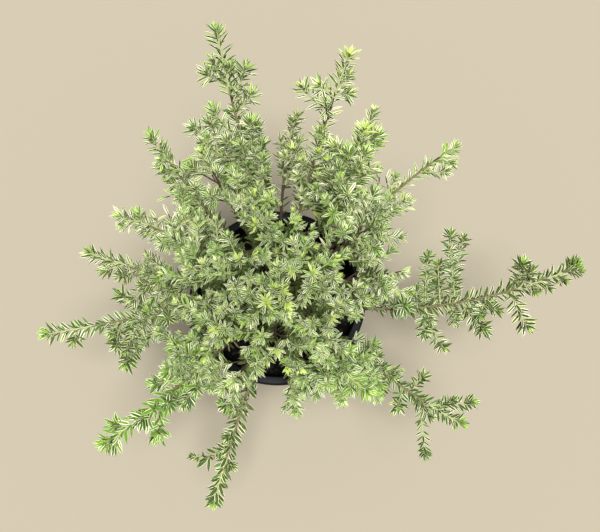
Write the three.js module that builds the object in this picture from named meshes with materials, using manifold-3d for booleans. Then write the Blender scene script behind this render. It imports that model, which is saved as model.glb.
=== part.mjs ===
import * as THREE from "three";
import { mergeVertices } from "three/addons/utils/BufferGeometryUtils.js";
import Module from "manifold-3d";

// A young variegated westringia in a black nursery pot, in millimetres, with +Z up.
// The origin is the middle of the pot's underside. A heading is an angle in degrees
// from +X towards +Y, seen from above, a reach is a distance from the pot's axis, and
// a height is above the ground that the pot stands on.

// Gap kept between two pieces that touch
const GAP = 0.3;

// Nursery pot
const POT_HEIGHT = 190;
const POT_LIP_RADIUS = 98;
const POT_LIP_DEPTH = 9;
const POT_LIP_ROUND = 2;
const POT_MOUTH_ROUND = 1;
const POT_BAND_RADIUS = 91;
const POT_BAND_HEIGHT = 158;
const POT_STEP = 2;
const POT_BASE_RADIUS = 72;
const POT_BASE_BEVEL = 2.5;
const POT_WALL = 2.4;
const POT_SIDES = 36;
const DRAIN_HOLES = 8;
const DRAIN_RADIUS = 6;
const DRAIN_RING_RADIUS = 54;
const DRAIN_SIDES = 8;

// Potting mix
const MIX_TOP = 165;
const MIX_ROUND = 3;

// Trunk: a short leaning stem that flares where it enters the mix
const TRUNK_FOOT = MIX_TOP + GAP;
const TRUNK_HEIGHT = 96;
const TRUNK_LEAN = [5, 4];
const TRUNK_FOOT_RADIUS = 6.4;
const TRUNK_TOP_RADIUS = 4.6;
const TRUNK_FLARE = 3.2;
const FLARE_SPREAD = 0.09;
const TRUNK_SIDES = 9;
const TRUNK_RINGS = 7;

// Boughs leave the trunk on seven tiers
const FIRST_TIER = MIX_TOP + 16;
const TIER_STEP = 13;
const BOUGH_SHARE = 0.31;
const BOUGH_ROOT_RADIUS = 2.4;
const BOUGH_TIP_RADIUS = 1.9;
const BOUGH_SIDES = 5;
const BOUGH_RINGS = 3;

// Masses: one stem each, side twigs, and leaves larger than life
const STEM_TIP_RADIUS = 1.2;
const STEM_RINGS = 5;
const STEM_SIDES = 3;
const TWIG_RINGS = 2;
const TWIG_ROOT_RADIUS = 0.6;
const TWIG_RADIUS = 1.1;
const TWIG_TIP_RADIUS = 0.9;
const TWIG_SAG = 0.12;
const FILL_STEP = 64;
const FILL_FIRST = 0.35;
const FILL_SHIFT = 0.3;
const FILL_END = 0.6;
const FILL_LENGTH = [42, 24];
const FILL_LENGTH_RANGE = [0.85, 1.15];
const FILL_ANGLE = 48;
const FILL_LIFT = 0.55;
const FILL_TURN = 60;
const GOLDEN_ANGLE = 137.5;
const TWIG_CLEAR = 6;
const TWIG_POINTS = 4;
const LEAF_LENGTH = 30;
const LEAF_WIDTH = 9.5;
const LEAF_THICKNESS = 1.5;
const LEAF_ANGLE = 48;
const LEAF_STEP = 26;
const LEAF_CLEAR = 4.5;
const LEAF_FREE_FROM = 0.3;
const LEAF_POINTS = 4;
const TIP_LEAF_ANGLE = 20;
const TIP_LEAF_BACK = 18;
const TIP_LEAF_FIRST = 0.4;
const LEAF_FACES_UP = 0.55;
const STEM_BARE = 4;
const TWIG_BARE = 9;
const LIMB_CLEAR = 2.2;

// Each shoot leaves the trunk on a tier, passes through a point half way and ends at
// its tip, both as [heading, reach, height]. Its side shoots are
// [share of the way along, swing from its heading, length, rise above level].
const SHOOTS = [
  { name: "right_wand", tier: 1, middle: [353, 157, 232], tip: [3, 307, 272],
    sides: [[0.48, -65, 52, 5], [0.5, 94, 72, 50], [0.58, 78, 80, 40], [0.62, -66, 40, 12],
      [0.78, -82, 43, -5], [0.8, 70, 32, 38]] },
  { name: "right_low", tier: 2, middle: [359, 67, 285], tip: [3, 123, 290],
    sides: [[0.4, -50, 58, 48], [0.5, 32, 43, 20], [0.6, -16, 31, 40]] },
  { name: "right_mid", tier: 4, middle: [25, 72, 305], tip: [28, 127, 322],
    sides: [[0.6, 38, 48, 12], [0.7, -33, 16, -10]] },
  { name: "right_upper_wand", tier: 2, middle: [37, 143, 288], tip: [36, 215, 312],
    sides: [[0.5, 74, 24, 32], [0.85, -60, 16, -20]] },
  { name: "upper_right", tier: 3, middle: [52, 93, 315], tip: [57, 143, 378],
    sides: [[0.5, -160, 54, 57], [0.6, -31, 33, 28], [0.7, 70, 30, 33], [0.8, -28, 28, 30]] },
  { name: "crown_back", tier: 5, middle: [68, 31, 290], tip: [67, 44, 362],
    sides: [[0.6, 155, 49, 75], [0.62, -76, 46, 68]] },
  { name: "back_right_leader", tier: 1, middle: [73, 116, 300], tip: [71, 202, 385],
    sides: [[0.5, 2, 43, 45], [0.74, 75, 37, 15], [0.8, 88, 23, 37], [0.82, -72, 16, 0]] },
  { name: "back_pair", tier: 5, middle: [87, 106, 262], tip: [83, 165, 310],
    sides: [[0.45, -16, 65, 43], [0.5, 33, 42, 42]] },
  { name: "back_left_leader", tier: 7, middle: [105, 114, 312], tip: [105, 218, 400],
    sides: [[0.55, 53, 58, 18], [0.6, -58, 26, 46], [0.7, -70, 30, 40], [0.74, -46, 42, 48],
      [0.8, 60, 28, 36]] },
  { name: "crown_back_left", tier: 6, middle: [115, 33, 285], tip: [117, 46, 350],
    sides: [[0.5, -36, 59, 49], [0.52, 7, 72, 38], [0.62, -2, 56, 50]] },
  { name: "upper_left_high", tier: 3, middle: [122, 82, 290], tip: [123, 134, 335],
    sides: [[0.6, -6, 36, 55], [0.7, 30, 35, 25]] },
  { name: "upper_left", tier: 1, middle: [135, 109, 290], tip: [134, 170, 350],
    sides: [[0.5, -26, 32, 74], [0.6, 70, 28, -8], [0.8, 90, 12, 45]] },
  { name: "left_upper", tier: 4, middle: [156, 98, 272], tip: [160, 162, 320],
    sides: [[0.55, -82, 38, 57], [0.6, 68, 25, 43], [0.72, -90, 20, 55], [0.82, -62, 15, 50]] },
  { name: "left", tier: 5, middle: [174, 102, 246], tip: [171, 195, 270],
    sides: [[0.5, 45, 40, -8], [0.6, 110, 30, 62], [0.7, 24, 18, 8]] },
  { name: "crown_low_left", tier: 2, middle: [183, 51, 270], tip: [174, 71, 325],
    sides: [[0.5, -72, 64, 58], [0.6, 19, 42, 38], [0.62, -39, 52, 37]] },
  { name: "crown_left", tier: 5, middle: [181, 23, 295], tip: [175, 36, 368],
    sides: [[0.5, -80, 53, 72], [0.52, 52, 57, 62], [0.62, 24, 48, 58]] },
  { name: "far_left", tier: 1, middle: [191, 128, 216], tip: [191, 247, 226],
    sides: [[0.45, 40, 50, 8], [0.5, -36, 49, 18], [0.6, 72, 56, 18], [0.68, 86, 35, 26],
      [0.86, 74, 17, 12]] },
  { name: "front_left", tier: 2, middle: [225, 128, 228], tip: [223, 233, 256],
    sides: [[0.6, 40, 32, 60], [0.68, -28, 28, 33], [0.72, 20, 27, 54], [0.76, 76, 28, -5],
      [0.86, -44, 17, 30]] },
  { name: "crown_front_left", tier: 4, middle: [227, 49, 265], tip: [224, 81, 335],
    sides: [[0.5, -43, 64, 45], [0.62, -65, 54, 74]] },
  { name: "front_low", tier: 3, middle: [250, 69, 240], tip: [246, 110, 275],
    sides: [[0.58, -10, 40, 78], [0.62, -52, 44, 25]] },
  { name: "front_wand", tier: 1, middle: [253, 126, 214], tip: [253, 228, 200],
    sides: [[0.5, -74, 33, 54], [0.75, -72, 42, -16]] },
  { name: "crown_centre", tier: 7, middle: [253, 26, 310], tip: [257, 44, 405],
    sides: [[0.5, 114, 70, 80], [0.6, -20, 58, 74]] },
  { name: "crown_front", tier: 6, middle: [267, 45, 275], tip: [270, 77, 330],
    sides: [[0.5, -28, 52, 43], [0.6, 49, 51, 53]] },
  { name: "front_short", tier: 5, middle: [279, 76, 235], tip: [278, 130, 250],
    sides: [[0.5, 16, 37, 47]] },
  { name: "front_right", tier: 2, middle: [304, 84, 262], tip: [308, 139, 285],
    sides: [[0.5, -49, 32, 25], [0.6, -29, 31, 2], [0.7, 86, 38, 24]] },
  { name: "crown_front_right", tier: 5, middle: [313, 39, 285], tip: [315, 70, 355],
    sides: [[0.5, -39, 62, 60], [0.58, -17, 50, 38], [0.62, 49, 56, 55]] },
  { name: "lower_right", tier: 4, middle: [321, 135, 228], tip: [323, 234, 238],
    sides: [[0.5, -135, 46, 44], [0.64, -78, 30, 32], [0.68, 90, 26, 35], [0.74, -51, 60, -10],
      [0.8, 37, 45, 10]] },
  { name: "crown_right", tier: 6, middle: [338, 20, 300], tip: [337, 34, 385],
    sides: [[0.5, -4, 62, 59], [0.6, 46, 56, 66], [0.64, 123, 52, 74]] },
];

// Finishes
const POT_PLASTIC = { color: 0x1d2125, roughness: 0.5, metalness: 0 };
const POTTING_MIX = { color: 0x2b2119, roughness: 1, metalness: 0 };
const BARK = { color: 0x6f6048, roughness: 0.9, metalness: 0 };
const GREEN_STEM = { color: 0x8f8a5c, roughness: 0.85, metalness: 0 };
const FOLIAGE = { color: 0x93a56b, roughness: 0.7, metalness: 0 };
const SUNLIT_FOLIAGE = { color: 0xa9b978, roughness: 0.7, metalness: 0 };

const UP = new THREE.Vector3(0, 0, 1);
const SIDEWAYS = new THREE.Vector3(1, 0, 0);
const NEARLY_UPRIGHT = 0.9;
const NEARLY_STRAIGHT = 1e-3;
const SAME_POINT = 1e-4;
const radians = THREE.MathUtils.degToRad;
const { lerp } = THREE.MathUtils;

const wasm = await Module();
wasm.setup();

// A point from its heading, reach and height
function place([heading, reach, height]) {
  const angle = radians(heading);
  return new THREE.Vector3(reach * Math.cos(angle), reach * Math.sin(angle), height);
}

// The same run of numbers from 0 to 1 for the same seed
const RANDOM_RANGE = 2 ** 32;
const RANDOM_FACTOR = 1664525;
const RANDOM_STEP = 1013904223;
const SEED_FACTOR = 7919;
const SEED_STEP = 12345;

function seededNumbers(seed) {
  let state = (seed * SEED_FACTOR + SEED_STEP) % RANDOM_RANGE;
  return () => {
    state = (state * RANDOM_FACTOR + RANDOM_STEP) % RANDOM_RANGE;
    return state / RANDOM_RANGE;
  };
}

// Any direction at right angles to another
function acrossFrom(direction) {
  const helper = Math.abs(direction.z) > NEARLY_UPRIGHT ? SIDEWAYS : UP;
  return new THREE.Vector3().crossVectors(helper, direction).normalize();
}

// The stretch of a curve between two shares of its way, as a curve of its own
function stretch(curve, from, to) {
  const { v0, v1, v2 } = curve;
  const control = v0.clone().multiplyScalar((1 - from) * (1 - to))
    .addScaledVector(v1, from * (1 - to) + to * (1 - from))
    .addScaledVector(v2, from * to);
  return new THREE.QuadraticBezierCurve3(curve.getPoint(from), control, curve.getPoint(to));
}

// The direction of a curve at a share of its way, and two more at right angles to it.
// The first of them stays the same all along, square to the plane that the curve bends in.
function frameAt(curve, share) {
  const bend = new THREE.Vector3().crossVectors(
    curve.v1.clone().sub(curve.v0), curve.v2.clone().sub(curve.v1));
  const along = curve.getTangent(share);
  const across = bend.length() < NEARLY_STRAIGHT ? acrossFrom(along) : bend.normalize();
  return { along, across, other: new THREE.Vector3().crossVectors(along, across) };
}

// A point on the middle of a limb, whose rings are joined by straight runs
function middleOf({ curve, rings }, share) {
  const ring = Math.min(Math.floor(share * rings), rings - 1);
  return curve.getPoint(ring / rings).lerp(curve.getPoint((ring + 1) / rings), share * rings - ring);
}

// The direction at a roll about a curve, where 0 is a corner of every limb on it
function outwards({ across, other }, roll) {
  return across.clone().multiplyScalar(Math.cos(radians(roll)))
    .addScaledVector(other, Math.sin(radians(roll)));
}

// A closed limb that follows a curve: a cylinder whose rings are moved onto it
function limb({ curve, rings }, radiusAt, sides) {
  const geometry = new THREE.CylinderGeometry(1, 1, 1, sides, rings);
  const positions = geometry.attributes.position;
  for (let i = 0; i < positions.count; i++) {
    // An end's middle point moves onto its ring, which leaves the end with fewer faces
    if (positions.getX(i) === 0 && positions.getZ(i) === 0) positions.setZ(i, 1);
    const share = THREE.MathUtils.clamp(positions.getY(i) + 0.5, 0, 1);
    const { across, other } = frameAt(curve, share);
    const point = curve.getPoint(share)
      .addScaledVector(other, positions.getX(i) * radiusAt(share))
      .addScaledVector(across, positions.getZ(i) * radiusAt(share));
    positions.setXYZ(i, point.x, point.y, point.z);
  }
  return geometry;
}

const taper = (from, to) => (share) => lerp(from, to, share);

// A twig is slim where its root is sunk in the stem
const twigRadius = (share) => (share === 0 ? TWIG_ROOT_RADIUS
  : lerp(TWIG_RADIUS, TWIG_TIP_RADIUS, share));

// A closed geometry as a solid that can be joined and cut
function solid(geometry) {
  geometry.deleteAttribute("normal");
  geometry.deleteAttribute("uv");
  const merged = mergeVertices(geometry, SAME_POINT);
  const faces = [];
  const index = merged.index.array;
  for (let i = 0; i < index.length; i += 3) {
    const [a, b, c] = [index[i], index[i + 1], index[i + 2]];
    if (a !== b && b !== c && c !== a) faces.push(a, b, c);
  }
  return new wasm.Manifold(new wasm.Mesh({
    numProp: 3,
    vertProperties: Float32Array.from(merged.attributes.position.array),
    triVerts: Uint32Array.from(faces),
  }));
}

const joined = (solids) => solids.reduce((whole, next) => whole.add(next));

function addPart(group, name, shape, finish) {
  const { vertProperties, triVerts } = shape.getMesh();
  const geometry = new THREE.BufferGeometry();
  geometry.setAttribute("position", new THREE.BufferAttribute(vertProperties, 3));
  geometry.setIndex(new THREE.BufferAttribute(triVerts, 1));
  geometry.computeVertexNormals();
  const mesh = new THREE.Mesh(geometry, new THREE.MeshStandardMaterial(finish));
  mesh.name = name;
  group.add(mesh);
}

// A shape turned about the vertical axis from [radius, height] pairs
function turned(profile) {
  const points = profile.map(([radius, height]) => new THREE.Vector2(radius, height));
  const geometry = new THREE.LatheGeometry(points, POT_SIDES);
  geometry.rotateX(Math.PI / 2);
  return solid(geometry);
}

// Inner radius of the pot at a height
function potInside(height) {
  const top = POT_BAND_RADIUS - POT_STEP;
  const share = height / POT_BAND_HEIGHT;
  return lerp(POT_BASE_RADIUS, top, Math.min(share, 1)) - POT_WALL;
}

function nurseryPot() {
  const rim = POT_LIP_RADIUS;
  const under = POT_HEIGHT - POT_LIP_DEPTH;
  const mouth = potInside(POT_BAND_HEIGHT) + POT_STEP;
  const shell = turned([
    [0, 0],
    [POT_BASE_RADIUS - POT_BASE_BEVEL, 0],
    [POT_BASE_RADIUS, POT_BASE_BEVEL],
    [POT_BAND_RADIUS - POT_STEP, POT_BAND_HEIGHT],
    [POT_BAND_RADIUS, POT_BAND_HEIGHT + POT_STEP],
    [POT_BAND_RADIUS, under],
    [rim, under],
    [rim, POT_HEIGHT - POT_LIP_ROUND],
    [rim - POT_LIP_ROUND, POT_HEIGHT],
    [mouth + POT_MOUTH_ROUND, POT_HEIGHT],
    [mouth, POT_HEIGHT - POT_MOUTH_ROUND],
    [mouth, POT_BAND_HEIGHT + POT_STEP],
    [potInside(POT_BAND_HEIGHT), POT_BAND_HEIGHT],
    [potInside(POT_WALL), POT_WALL],
    [0, POT_WALL],
  ]);
  const holes = [];
  for (let i = 0; i < DRAIN_HOLES; i++) {
    const hole = new THREE.CylinderGeometry(
      DRAIN_RADIUS, DRAIN_RADIUS, 4 * POT_WALL, DRAIN_SIDES);
    hole.rotateX(Math.PI / 2);
    const centre = place([(i + 0.5) * 360 / DRAIN_HOLES, DRAIN_RING_RADIUS, 0]);
    hole.translate(centre.x, centre.y, centre.z);
    holes.push(solid(hole));
  }
  return shell.subtract(joined(holes));
}

function pottingMix() {
  const bottom = POT_WALL + GAP;
  const edge = MIX_TOP - MIX_ROUND;
  return turned([
    [0, bottom],
    [potInside(bottom) - GAP, bottom],
    [potInside(POT_BAND_HEIGHT) - GAP, POT_BAND_HEIGHT],
    [potInside(POT_BAND_HEIGHT) - GAP, edge],
    [potInside(POT_BAND_HEIGHT) - GAP - MIX_ROUND, MIX_TOP],
    [0, MIX_TOP],
  ]);
}

const TRUNK_CURVE = new THREE.QuadraticBezierCurve3(
  new THREE.Vector3(0, 0, TRUNK_FOOT),
  new THREE.Vector3(0, 0, TRUNK_FOOT + TRUNK_HEIGHT / 2),
  new THREE.Vector3(TRUNK_LEAN[0], TRUNK_LEAN[1], TRUNK_FOOT + TRUNK_HEIGHT));

function trunkRadius(share) {
  return lerp(TRUNK_FOOT_RADIUS, TRUNK_TOP_RADIUS, share)
    + TRUNK_FLARE * Math.exp(-share / FLARE_SPREAD);
}

const TRUNK_LIMB = { curve: TRUNK_CURVE, rings: TRUNK_RINGS };
const trunk = solid(limb(TRUNK_LIMB, trunkRadius, TRUNK_SIDES));

// The trunk with a gap's width round it and over its top, which the boughs are cut by
const SLEEVE_LIMB = { curve: stretch(TRUNK_CURVE, 0, 1 + GAP / TRUNK_HEIGHT), rings: TRUNK_RINGS };
const trunkSleeve = solid(limb(SLEEVE_LIMB, (share) => trunkRadius(share) + GAP, TRUNK_SIDES));

// A shoot's whole curve, from inside the trunk through its middle to its tip
function shootCurve({ tier, middle, tip }) {
  const height = FIRST_TIER + (tier - 1) * TIER_STEP;
  const start = TRUNK_CURVE.getPoint((height - TRUNK_FOOT) / TRUNK_HEIGHT);
  const end = place(tip);
  const control = place(middle).multiplyScalar(2)
    .addScaledVector(start, -0.5)
    .addScaledVector(end, -0.5);
  return new THREE.QuadraticBezierCurve3(start, control, end);
}

// A twig from a point on a stem: it leaves flatter than it ends, as if reaching for light
function twigFrom(root, direction, length) {
  const tip = root.clone().addScaledVector(direction, length);
  const control = root.clone().addScaledVector(direction, length / 2)
    .addScaledVector(UP, -TWIG_SAG * length);
  return { curve: new THREE.QuadraticBezierCurve3(root, control, tip), rings: TWIG_RINGS };
}

// A named side shoot, turned from its stem's own heading
function sideTwig(stem, [share, swing, length, rise]) {
  const onStem = (share - BOUGH_SHARE) / (1 - BOUGH_SHARE);
  const along = stem.curve.getTangent(onStem);
  const heading = Math.atan2(along.y, along.x) + radians(swing);
  const level = Math.cos(radians(rise));
  const direction = new THREE.Vector3(
    level * Math.cos(heading), level * Math.sin(heading), Math.sin(radians(rise)));
  return twigFrom(middleOf(stem, onStem), direction, length);
}

// Twigs that fill the stem between the named ones, longest near its root
function fillTwigs(stem, random) {
  const length = stem.curve.getLength();
  const count = Math.floor(length / FILL_STEP);
  const twigs = [];
  for (let i = 0; i < count; i++) {
    const share = (i + FILL_FIRST + FILL_SHIFT * random()) / (count + FILL_END);
    const roll = i * GOLDEN_ANGLE + FILL_TURN * random();
    const frame = frameAt(stem.curve, share);
    const direction = frame.along.clone().multiplyScalar(Math.cos(radians(FILL_ANGLE)))
      .addScaledVector(outwards(frame, roll), Math.sin(radians(FILL_ANGLE)))
      .addScaledVector(UP, FILL_LIFT).normalize();
    const reach = lerp(FILL_LENGTH[0], FILL_LENGTH[1], share)
      * lerp(FILL_LENGTH_RANGE[0], FILL_LENGTH_RANGE[1], random());
    twigs.push(twigFrom(middleOf(stem, share), direction, reach));
  }
  return twigs;
}

const chainOf = ({ curve, rings }) => curve.getPoints(rings);

// Nearest distance from a point to a chain of points
function distanceTo(chain, point) {
  const line = new THREE.Line3();
  const nearest = new THREE.Vector3();
  let best = Infinity;
  for (let i = 1; i < chain.length; i++) {
    line.set(chain[i - 1], chain[i]).closestPointToPoint(point, true, nearest);
    best = Math.min(best, nearest.distanceTo(point));
  }
  return best;
}

const nearestOf = (chains, point) => Math.min(...chains.map((chain) => distanceTo(chain, point)));

// The bough and stem of a shoot, with the twigs that could grow on it
function growShoot(row, index) {
  const curve = shootCurve(row);
  const gapShare = GAP / curve.getLength();
  const bough = { curve: stretch(curve, 0, BOUGH_SHARE), rings: BOUGH_RINGS };
  const stem = { curve: stretch(curve, BOUGH_SHARE + gapShare, 1), rings: STEM_RINGS };
  const named = row.sides.map((side) => sideTwig(stem, side));
  const wanted = [...named, ...fillTwigs(stem, seededNumbers(index + 1))];
  return { row, bough, stem, wanted, twigs: [], chains: [chainOf(stem)] };
}

// A twig grows only where it keeps clear of the trunk and of the other shoots
function keepTwigs(shoot, shoots, trunkChain) {
  const others = shoots.filter((other) => other !== shoot)
    .flatMap((other) => [chainOf(other.bough), ...other.chains]);
  for (const twig of shoot.wanted) {
    const points = twig.curve.getPoints(TWIG_POINTS);
    if (points.every((point) => nearestOf([...others, trunkChain], point) > TWIG_CLEAR)) {
      shoot.twigs.push(twig);
      shoot.chains.push(chainOf(twig));
    }
  }
}

// Where the leaves of a mass could hang, each out of a flat side of its twig: pairs that
// turn from step to step, and one at the tip that points on
function leafSites({ curve }, first) {
  const length = curve.getLength();
  const steps = Math.max(1, Math.round((length - first) / LEAF_STEP));
  const tipShare = Math.max(TIP_LEAF_FIRST, 1 - TIP_LEAF_BACK / length);
  const sites = [{ share: tipShare, angle: TIP_LEAF_ANGLE, side: steps }];
  for (let i = 0; i < steps; i++) {
    const share = (first + (i + 0.5) * (length - first) / steps) / length;
    sites.push({ share, angle: LEAF_ANGLE, side: i });
    sites.push({ share, angle: LEAF_ANGLE, side: i + 1 });
  }
  return sites;
}

function leafAt(carrier, { share, angle, side }) {
  const frame = frameAt(carrier.curve, share);
  const turn = 360 / STEM_SIDES;
  const out = outwards(frame, (side + 0.5) * turn);
  const direction = frame.along.clone().multiplyScalar(Math.cos(radians(angle)))
    .addScaledVector(out, Math.sin(radians(angle)));
  // The upper side faces along the twig, and turns partly up towards the light
  const tangent = new THREE.Vector3().crossVectors(frame.along, out);
  const normal = new THREE.Vector3().crossVectors(direction, tangent).lerp(UP, LEAF_FACES_UP);
  const width = normal.cross(direction).normalize();
  return { root: middleOf(carrier, share), direction, width };
}

// A leaf hangs only where all of it is nearer to its own mass than to any other limb
function leafIsFree(leaf, own, others, limbs) {
  for (let i = 1; i <= LEAF_POINTS; i++) {
    const share = i / LEAF_POINTS;
    const point = leaf.root.clone().addScaledVector(leaf.direction, share * LEAF_LENGTH);
    const halfWidth = LEAF_WIDTH * (0.5 - Math.abs(share - 0.5));
    const room = nearestOf(others, point) - nearestOf(own, point);
    if (room < 2 * halfWidth + GAP) return false;
    if (nearestOf(limbs, point) < halfWidth + BOUGH_ROOT_RADIUS + LIMB_CLEAR) return false;
  }
  return true;
}

// The outer part of a leaf stays clear of the leaves already hung on its mass
function clearOfLeaves(leaf, hung) {
  const midribOf = ({ root, direction }) => [
    root.clone().addScaledVector(direction, LEAF_FREE_FROM * LEAF_LENGTH),
    root.clone().addScaledVector(direction, LEAF_LENGTH)];
  const midribs = hung.map(midribOf);
  const [inner, outer] = midribOf(leaf);
  const points = [inner, inner.clone().lerp(outer, 0.5), outer];
  return hung.length === 0 || points.every((point) => nearestOf(midribs, point) > LEAF_CLEAR);
}

// A blade of eight faces, its root at the middle of the twig
function leafBlade({ root, direction, width }) {
  const normal = new THREE.Vector3().crossVectors(direction, width);
  const blade = new THREE.OctahedronGeometry(1);
  blade.scale(LEAF_LENGTH / 2, LEAF_WIDTH / 2, LEAF_THICKNESS / 2);
  blade.translate(LEAF_LENGTH / 2, 0, 0);
  blade.applyMatrix4(new THREE.Matrix4().makeBasis(direction, width, normal).setPosition(root));
  return solid(blade);
}

function massOf(shoot, shoots, trunkChain) {
  const limbs = [...shoots.map((each) => chainOf(each.bough)), trunkChain];
  const others = shoots.filter((each) => each !== shoot).flatMap((each) => each.chains);
  const stem = limb(shoot.stem, taper(BOUGH_TIP_RADIUS, STEM_TIP_RADIUS), STEM_SIDES);
  const twigs = shoot.twigs.map((twig) => limb(twig, twigRadius, STEM_SIDES));
  const leaves = [shoot.stem, ...shoot.twigs].flatMap((carrier, i) =>
    leafSites(carrier, i === 0 ? STEM_BARE : TWIG_BARE).map((site) => leafAt(carrier, site)));
  const kept = [];
  for (const leaf of leaves) {
    if (leafIsFree(leaf, shoot.chains, others, limbs) && clearOfLeaves(leaf, kept)) kept.push(leaf);
  }
  const pieces = [stem, ...twigs].map(solid);
  return joined([...pieces, ...kept.map(leafBlade)]);
}

const plant = new THREE.Group();
addPart(plant, "pot", nurseryPot(), POT_PLASTIC);
addPart(plant, "potting_mix", pottingMix(), POTTING_MIX);
addPart(plant, "trunk", trunk, BARK);

const shoots = SHOOTS.map(growShoot);
const trunkChain = chainOf(TRUNK_LIMB);
for (const shoot of shoots) keepTwigs(shoot, shoots, trunkChain);

for (const shoot of shoots) {
  const bough = solid(limb(shoot.bough, taper(BOUGH_ROOT_RADIUS, BOUGH_TIP_RADIUS), BOUGH_SIDES));
  addPart(plant, `bough_${shoot.row.name}`, bough.subtract(trunkSleeve), GREEN_STEM);
}
for (const shoot of shoots) {
  const finish = shoot.row.name.startsWith("crown") ? SUNLIT_FOLIAGE : FOLIAGE;
  addPart(plant, `mass_${shoot.row.name}`, massOf(shoot, shoots, trunkChain), finish);
}

export default plant;
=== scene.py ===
# %% [markdown]
# # A variegated westringia in its nursery pot
#
# Westringia is also called coastal rosemary. Its narrow leaves stand in rings of four
# round slender shoots, and on this variegated form each leaf is green with cream edges.
# The plant is young: one short stem in a black nursery pot, a crowded crown over the pot,
# and long shoots that fan out past the rim on every side.
#
# The solid model of the plant is the frame that everything here is fitted to. It gives
# the pot, the trunk, one bough for each shoot and one mass of foliage at each bough's end.
# This lesson grows the same shoots again by the same rule, and carries them on to finer
# twigs and to leaves of their real size, which are too many for the solid model.

import math

import bpy
import numpy as np
from mathutils import Matrix, Vector, noise


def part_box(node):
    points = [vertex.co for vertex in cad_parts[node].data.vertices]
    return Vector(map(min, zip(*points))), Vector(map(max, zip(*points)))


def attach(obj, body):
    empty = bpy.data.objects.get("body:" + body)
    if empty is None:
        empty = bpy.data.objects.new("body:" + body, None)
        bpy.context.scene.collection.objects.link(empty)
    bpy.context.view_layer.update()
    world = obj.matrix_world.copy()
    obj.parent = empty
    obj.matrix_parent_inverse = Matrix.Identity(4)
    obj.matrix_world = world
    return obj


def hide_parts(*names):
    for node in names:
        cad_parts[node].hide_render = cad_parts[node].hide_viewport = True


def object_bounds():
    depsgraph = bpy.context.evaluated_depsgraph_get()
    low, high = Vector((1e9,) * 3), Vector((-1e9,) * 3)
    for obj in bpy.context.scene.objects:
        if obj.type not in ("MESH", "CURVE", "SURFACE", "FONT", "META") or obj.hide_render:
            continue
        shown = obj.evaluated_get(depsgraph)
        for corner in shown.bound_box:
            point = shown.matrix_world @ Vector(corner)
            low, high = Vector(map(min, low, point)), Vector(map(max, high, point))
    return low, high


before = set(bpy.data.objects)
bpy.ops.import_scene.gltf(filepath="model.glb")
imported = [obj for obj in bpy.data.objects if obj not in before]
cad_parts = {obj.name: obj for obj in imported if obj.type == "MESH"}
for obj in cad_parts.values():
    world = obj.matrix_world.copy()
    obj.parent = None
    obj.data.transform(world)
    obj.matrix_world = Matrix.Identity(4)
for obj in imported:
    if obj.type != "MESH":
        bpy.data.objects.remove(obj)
cad_low, cad_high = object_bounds()

MM = 0.001
pot_low, pot_high = (np.array(corner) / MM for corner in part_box("pot"))
mix_low, mix_high = (np.array(corner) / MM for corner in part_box("potting_mix"))
print("frame:", len(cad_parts), "nodes, pot", round(pot_high[0] * 2), "mm across the lip")

# %% [markdown]
# ## Colours and nodes
#
# A finish is easiest to pick as an ordinary hex colour, as a paint chart gives it. Blender
# mixes light in linear numbers, so one function turns the one into the other. A second
# one adds a shader node, sets it and links it, and every finish below is built with it.
# Leaves, twigs and chips are dealt out plain colours, so they share one simple recipe.

# %% Hex colours, nodes and plain finishes
def linear(hex_colour):
    """An sRGB hex colour as the linear colour that Blender's nodes take."""
    parts = [int(hex_colour[i:i + 2], 16) / 255 for i in (1, 3, 5)]
    return [c / 12.92 if c <= 0.04045 else ((c + 0.055) / 1.055) ** 2.4 for c in parts] + [1.0]


def add_node(tree, kind, inputs=None, stops=(), **settings):
    """Adds a node with its settings. An input is a plain value, or a socket to link from.
    Stops are (place, hex colour) pairs for a node that has a colour ramp."""
    node = tree.nodes.new(kind)
    for name, value in settings.items():
        setattr(node, name, value)
    for i, (spot, hex_colour) in enumerate(stops):
        elements = node.color_ramp.elements
        element = elements[i] if i < len(elements) else elements.new(spot)
        element.position, element.color = spot, linear(hex_colour)
    for name, value in (inputs or {}).items():
        if isinstance(value, bpy.types.NodeSocket):
            tree.links.new(value, node.inputs[name])
        else:
            node.inputs[name].default_value = value
    return node


def new_finish(name):
    """A new material, and its node tree, which is still empty."""
    finish = bpy.data.materials.new(name)
    finish.use_nodes = True
    finish.node_tree.nodes.clear()
    return finish, finish.node_tree


def plain_finish(name, hex_colour, roughness):
    """A finish with one colour and no pattern, with only a faint shine."""
    finish, tree = new_finish(name)
    shader = add_node(tree, "ShaderNodeBsdfPrincipled", {
        "Base Color": linear(hex_colour), "Roughness": roughness, "Specular IOR Level": 0.2})
    add_node(tree, "ShaderNodeOutputMaterial", {"Surface": shader.outputs["BSDF"]})
    return finish


def per_metre(size_mm):
    """The noise scale that draws features of a size in millimetres."""
    return 1 / (size_mm * MM)


print("#808080 looks half bright, and is", round(linear("#808080")[0], 2), "of full light")

# %% [markdown]
# ## Meshes from arrays
#
# A crown holds thousands of leaves. Adding them as objects would be slow, and the export
# keeps only plain meshes, so each piece is collected as arrays of points and triangles and
# becomes one mesh at the end. A bundle does the collecting: each small shape is added with
# the number of the finish that its triangles take.

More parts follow.
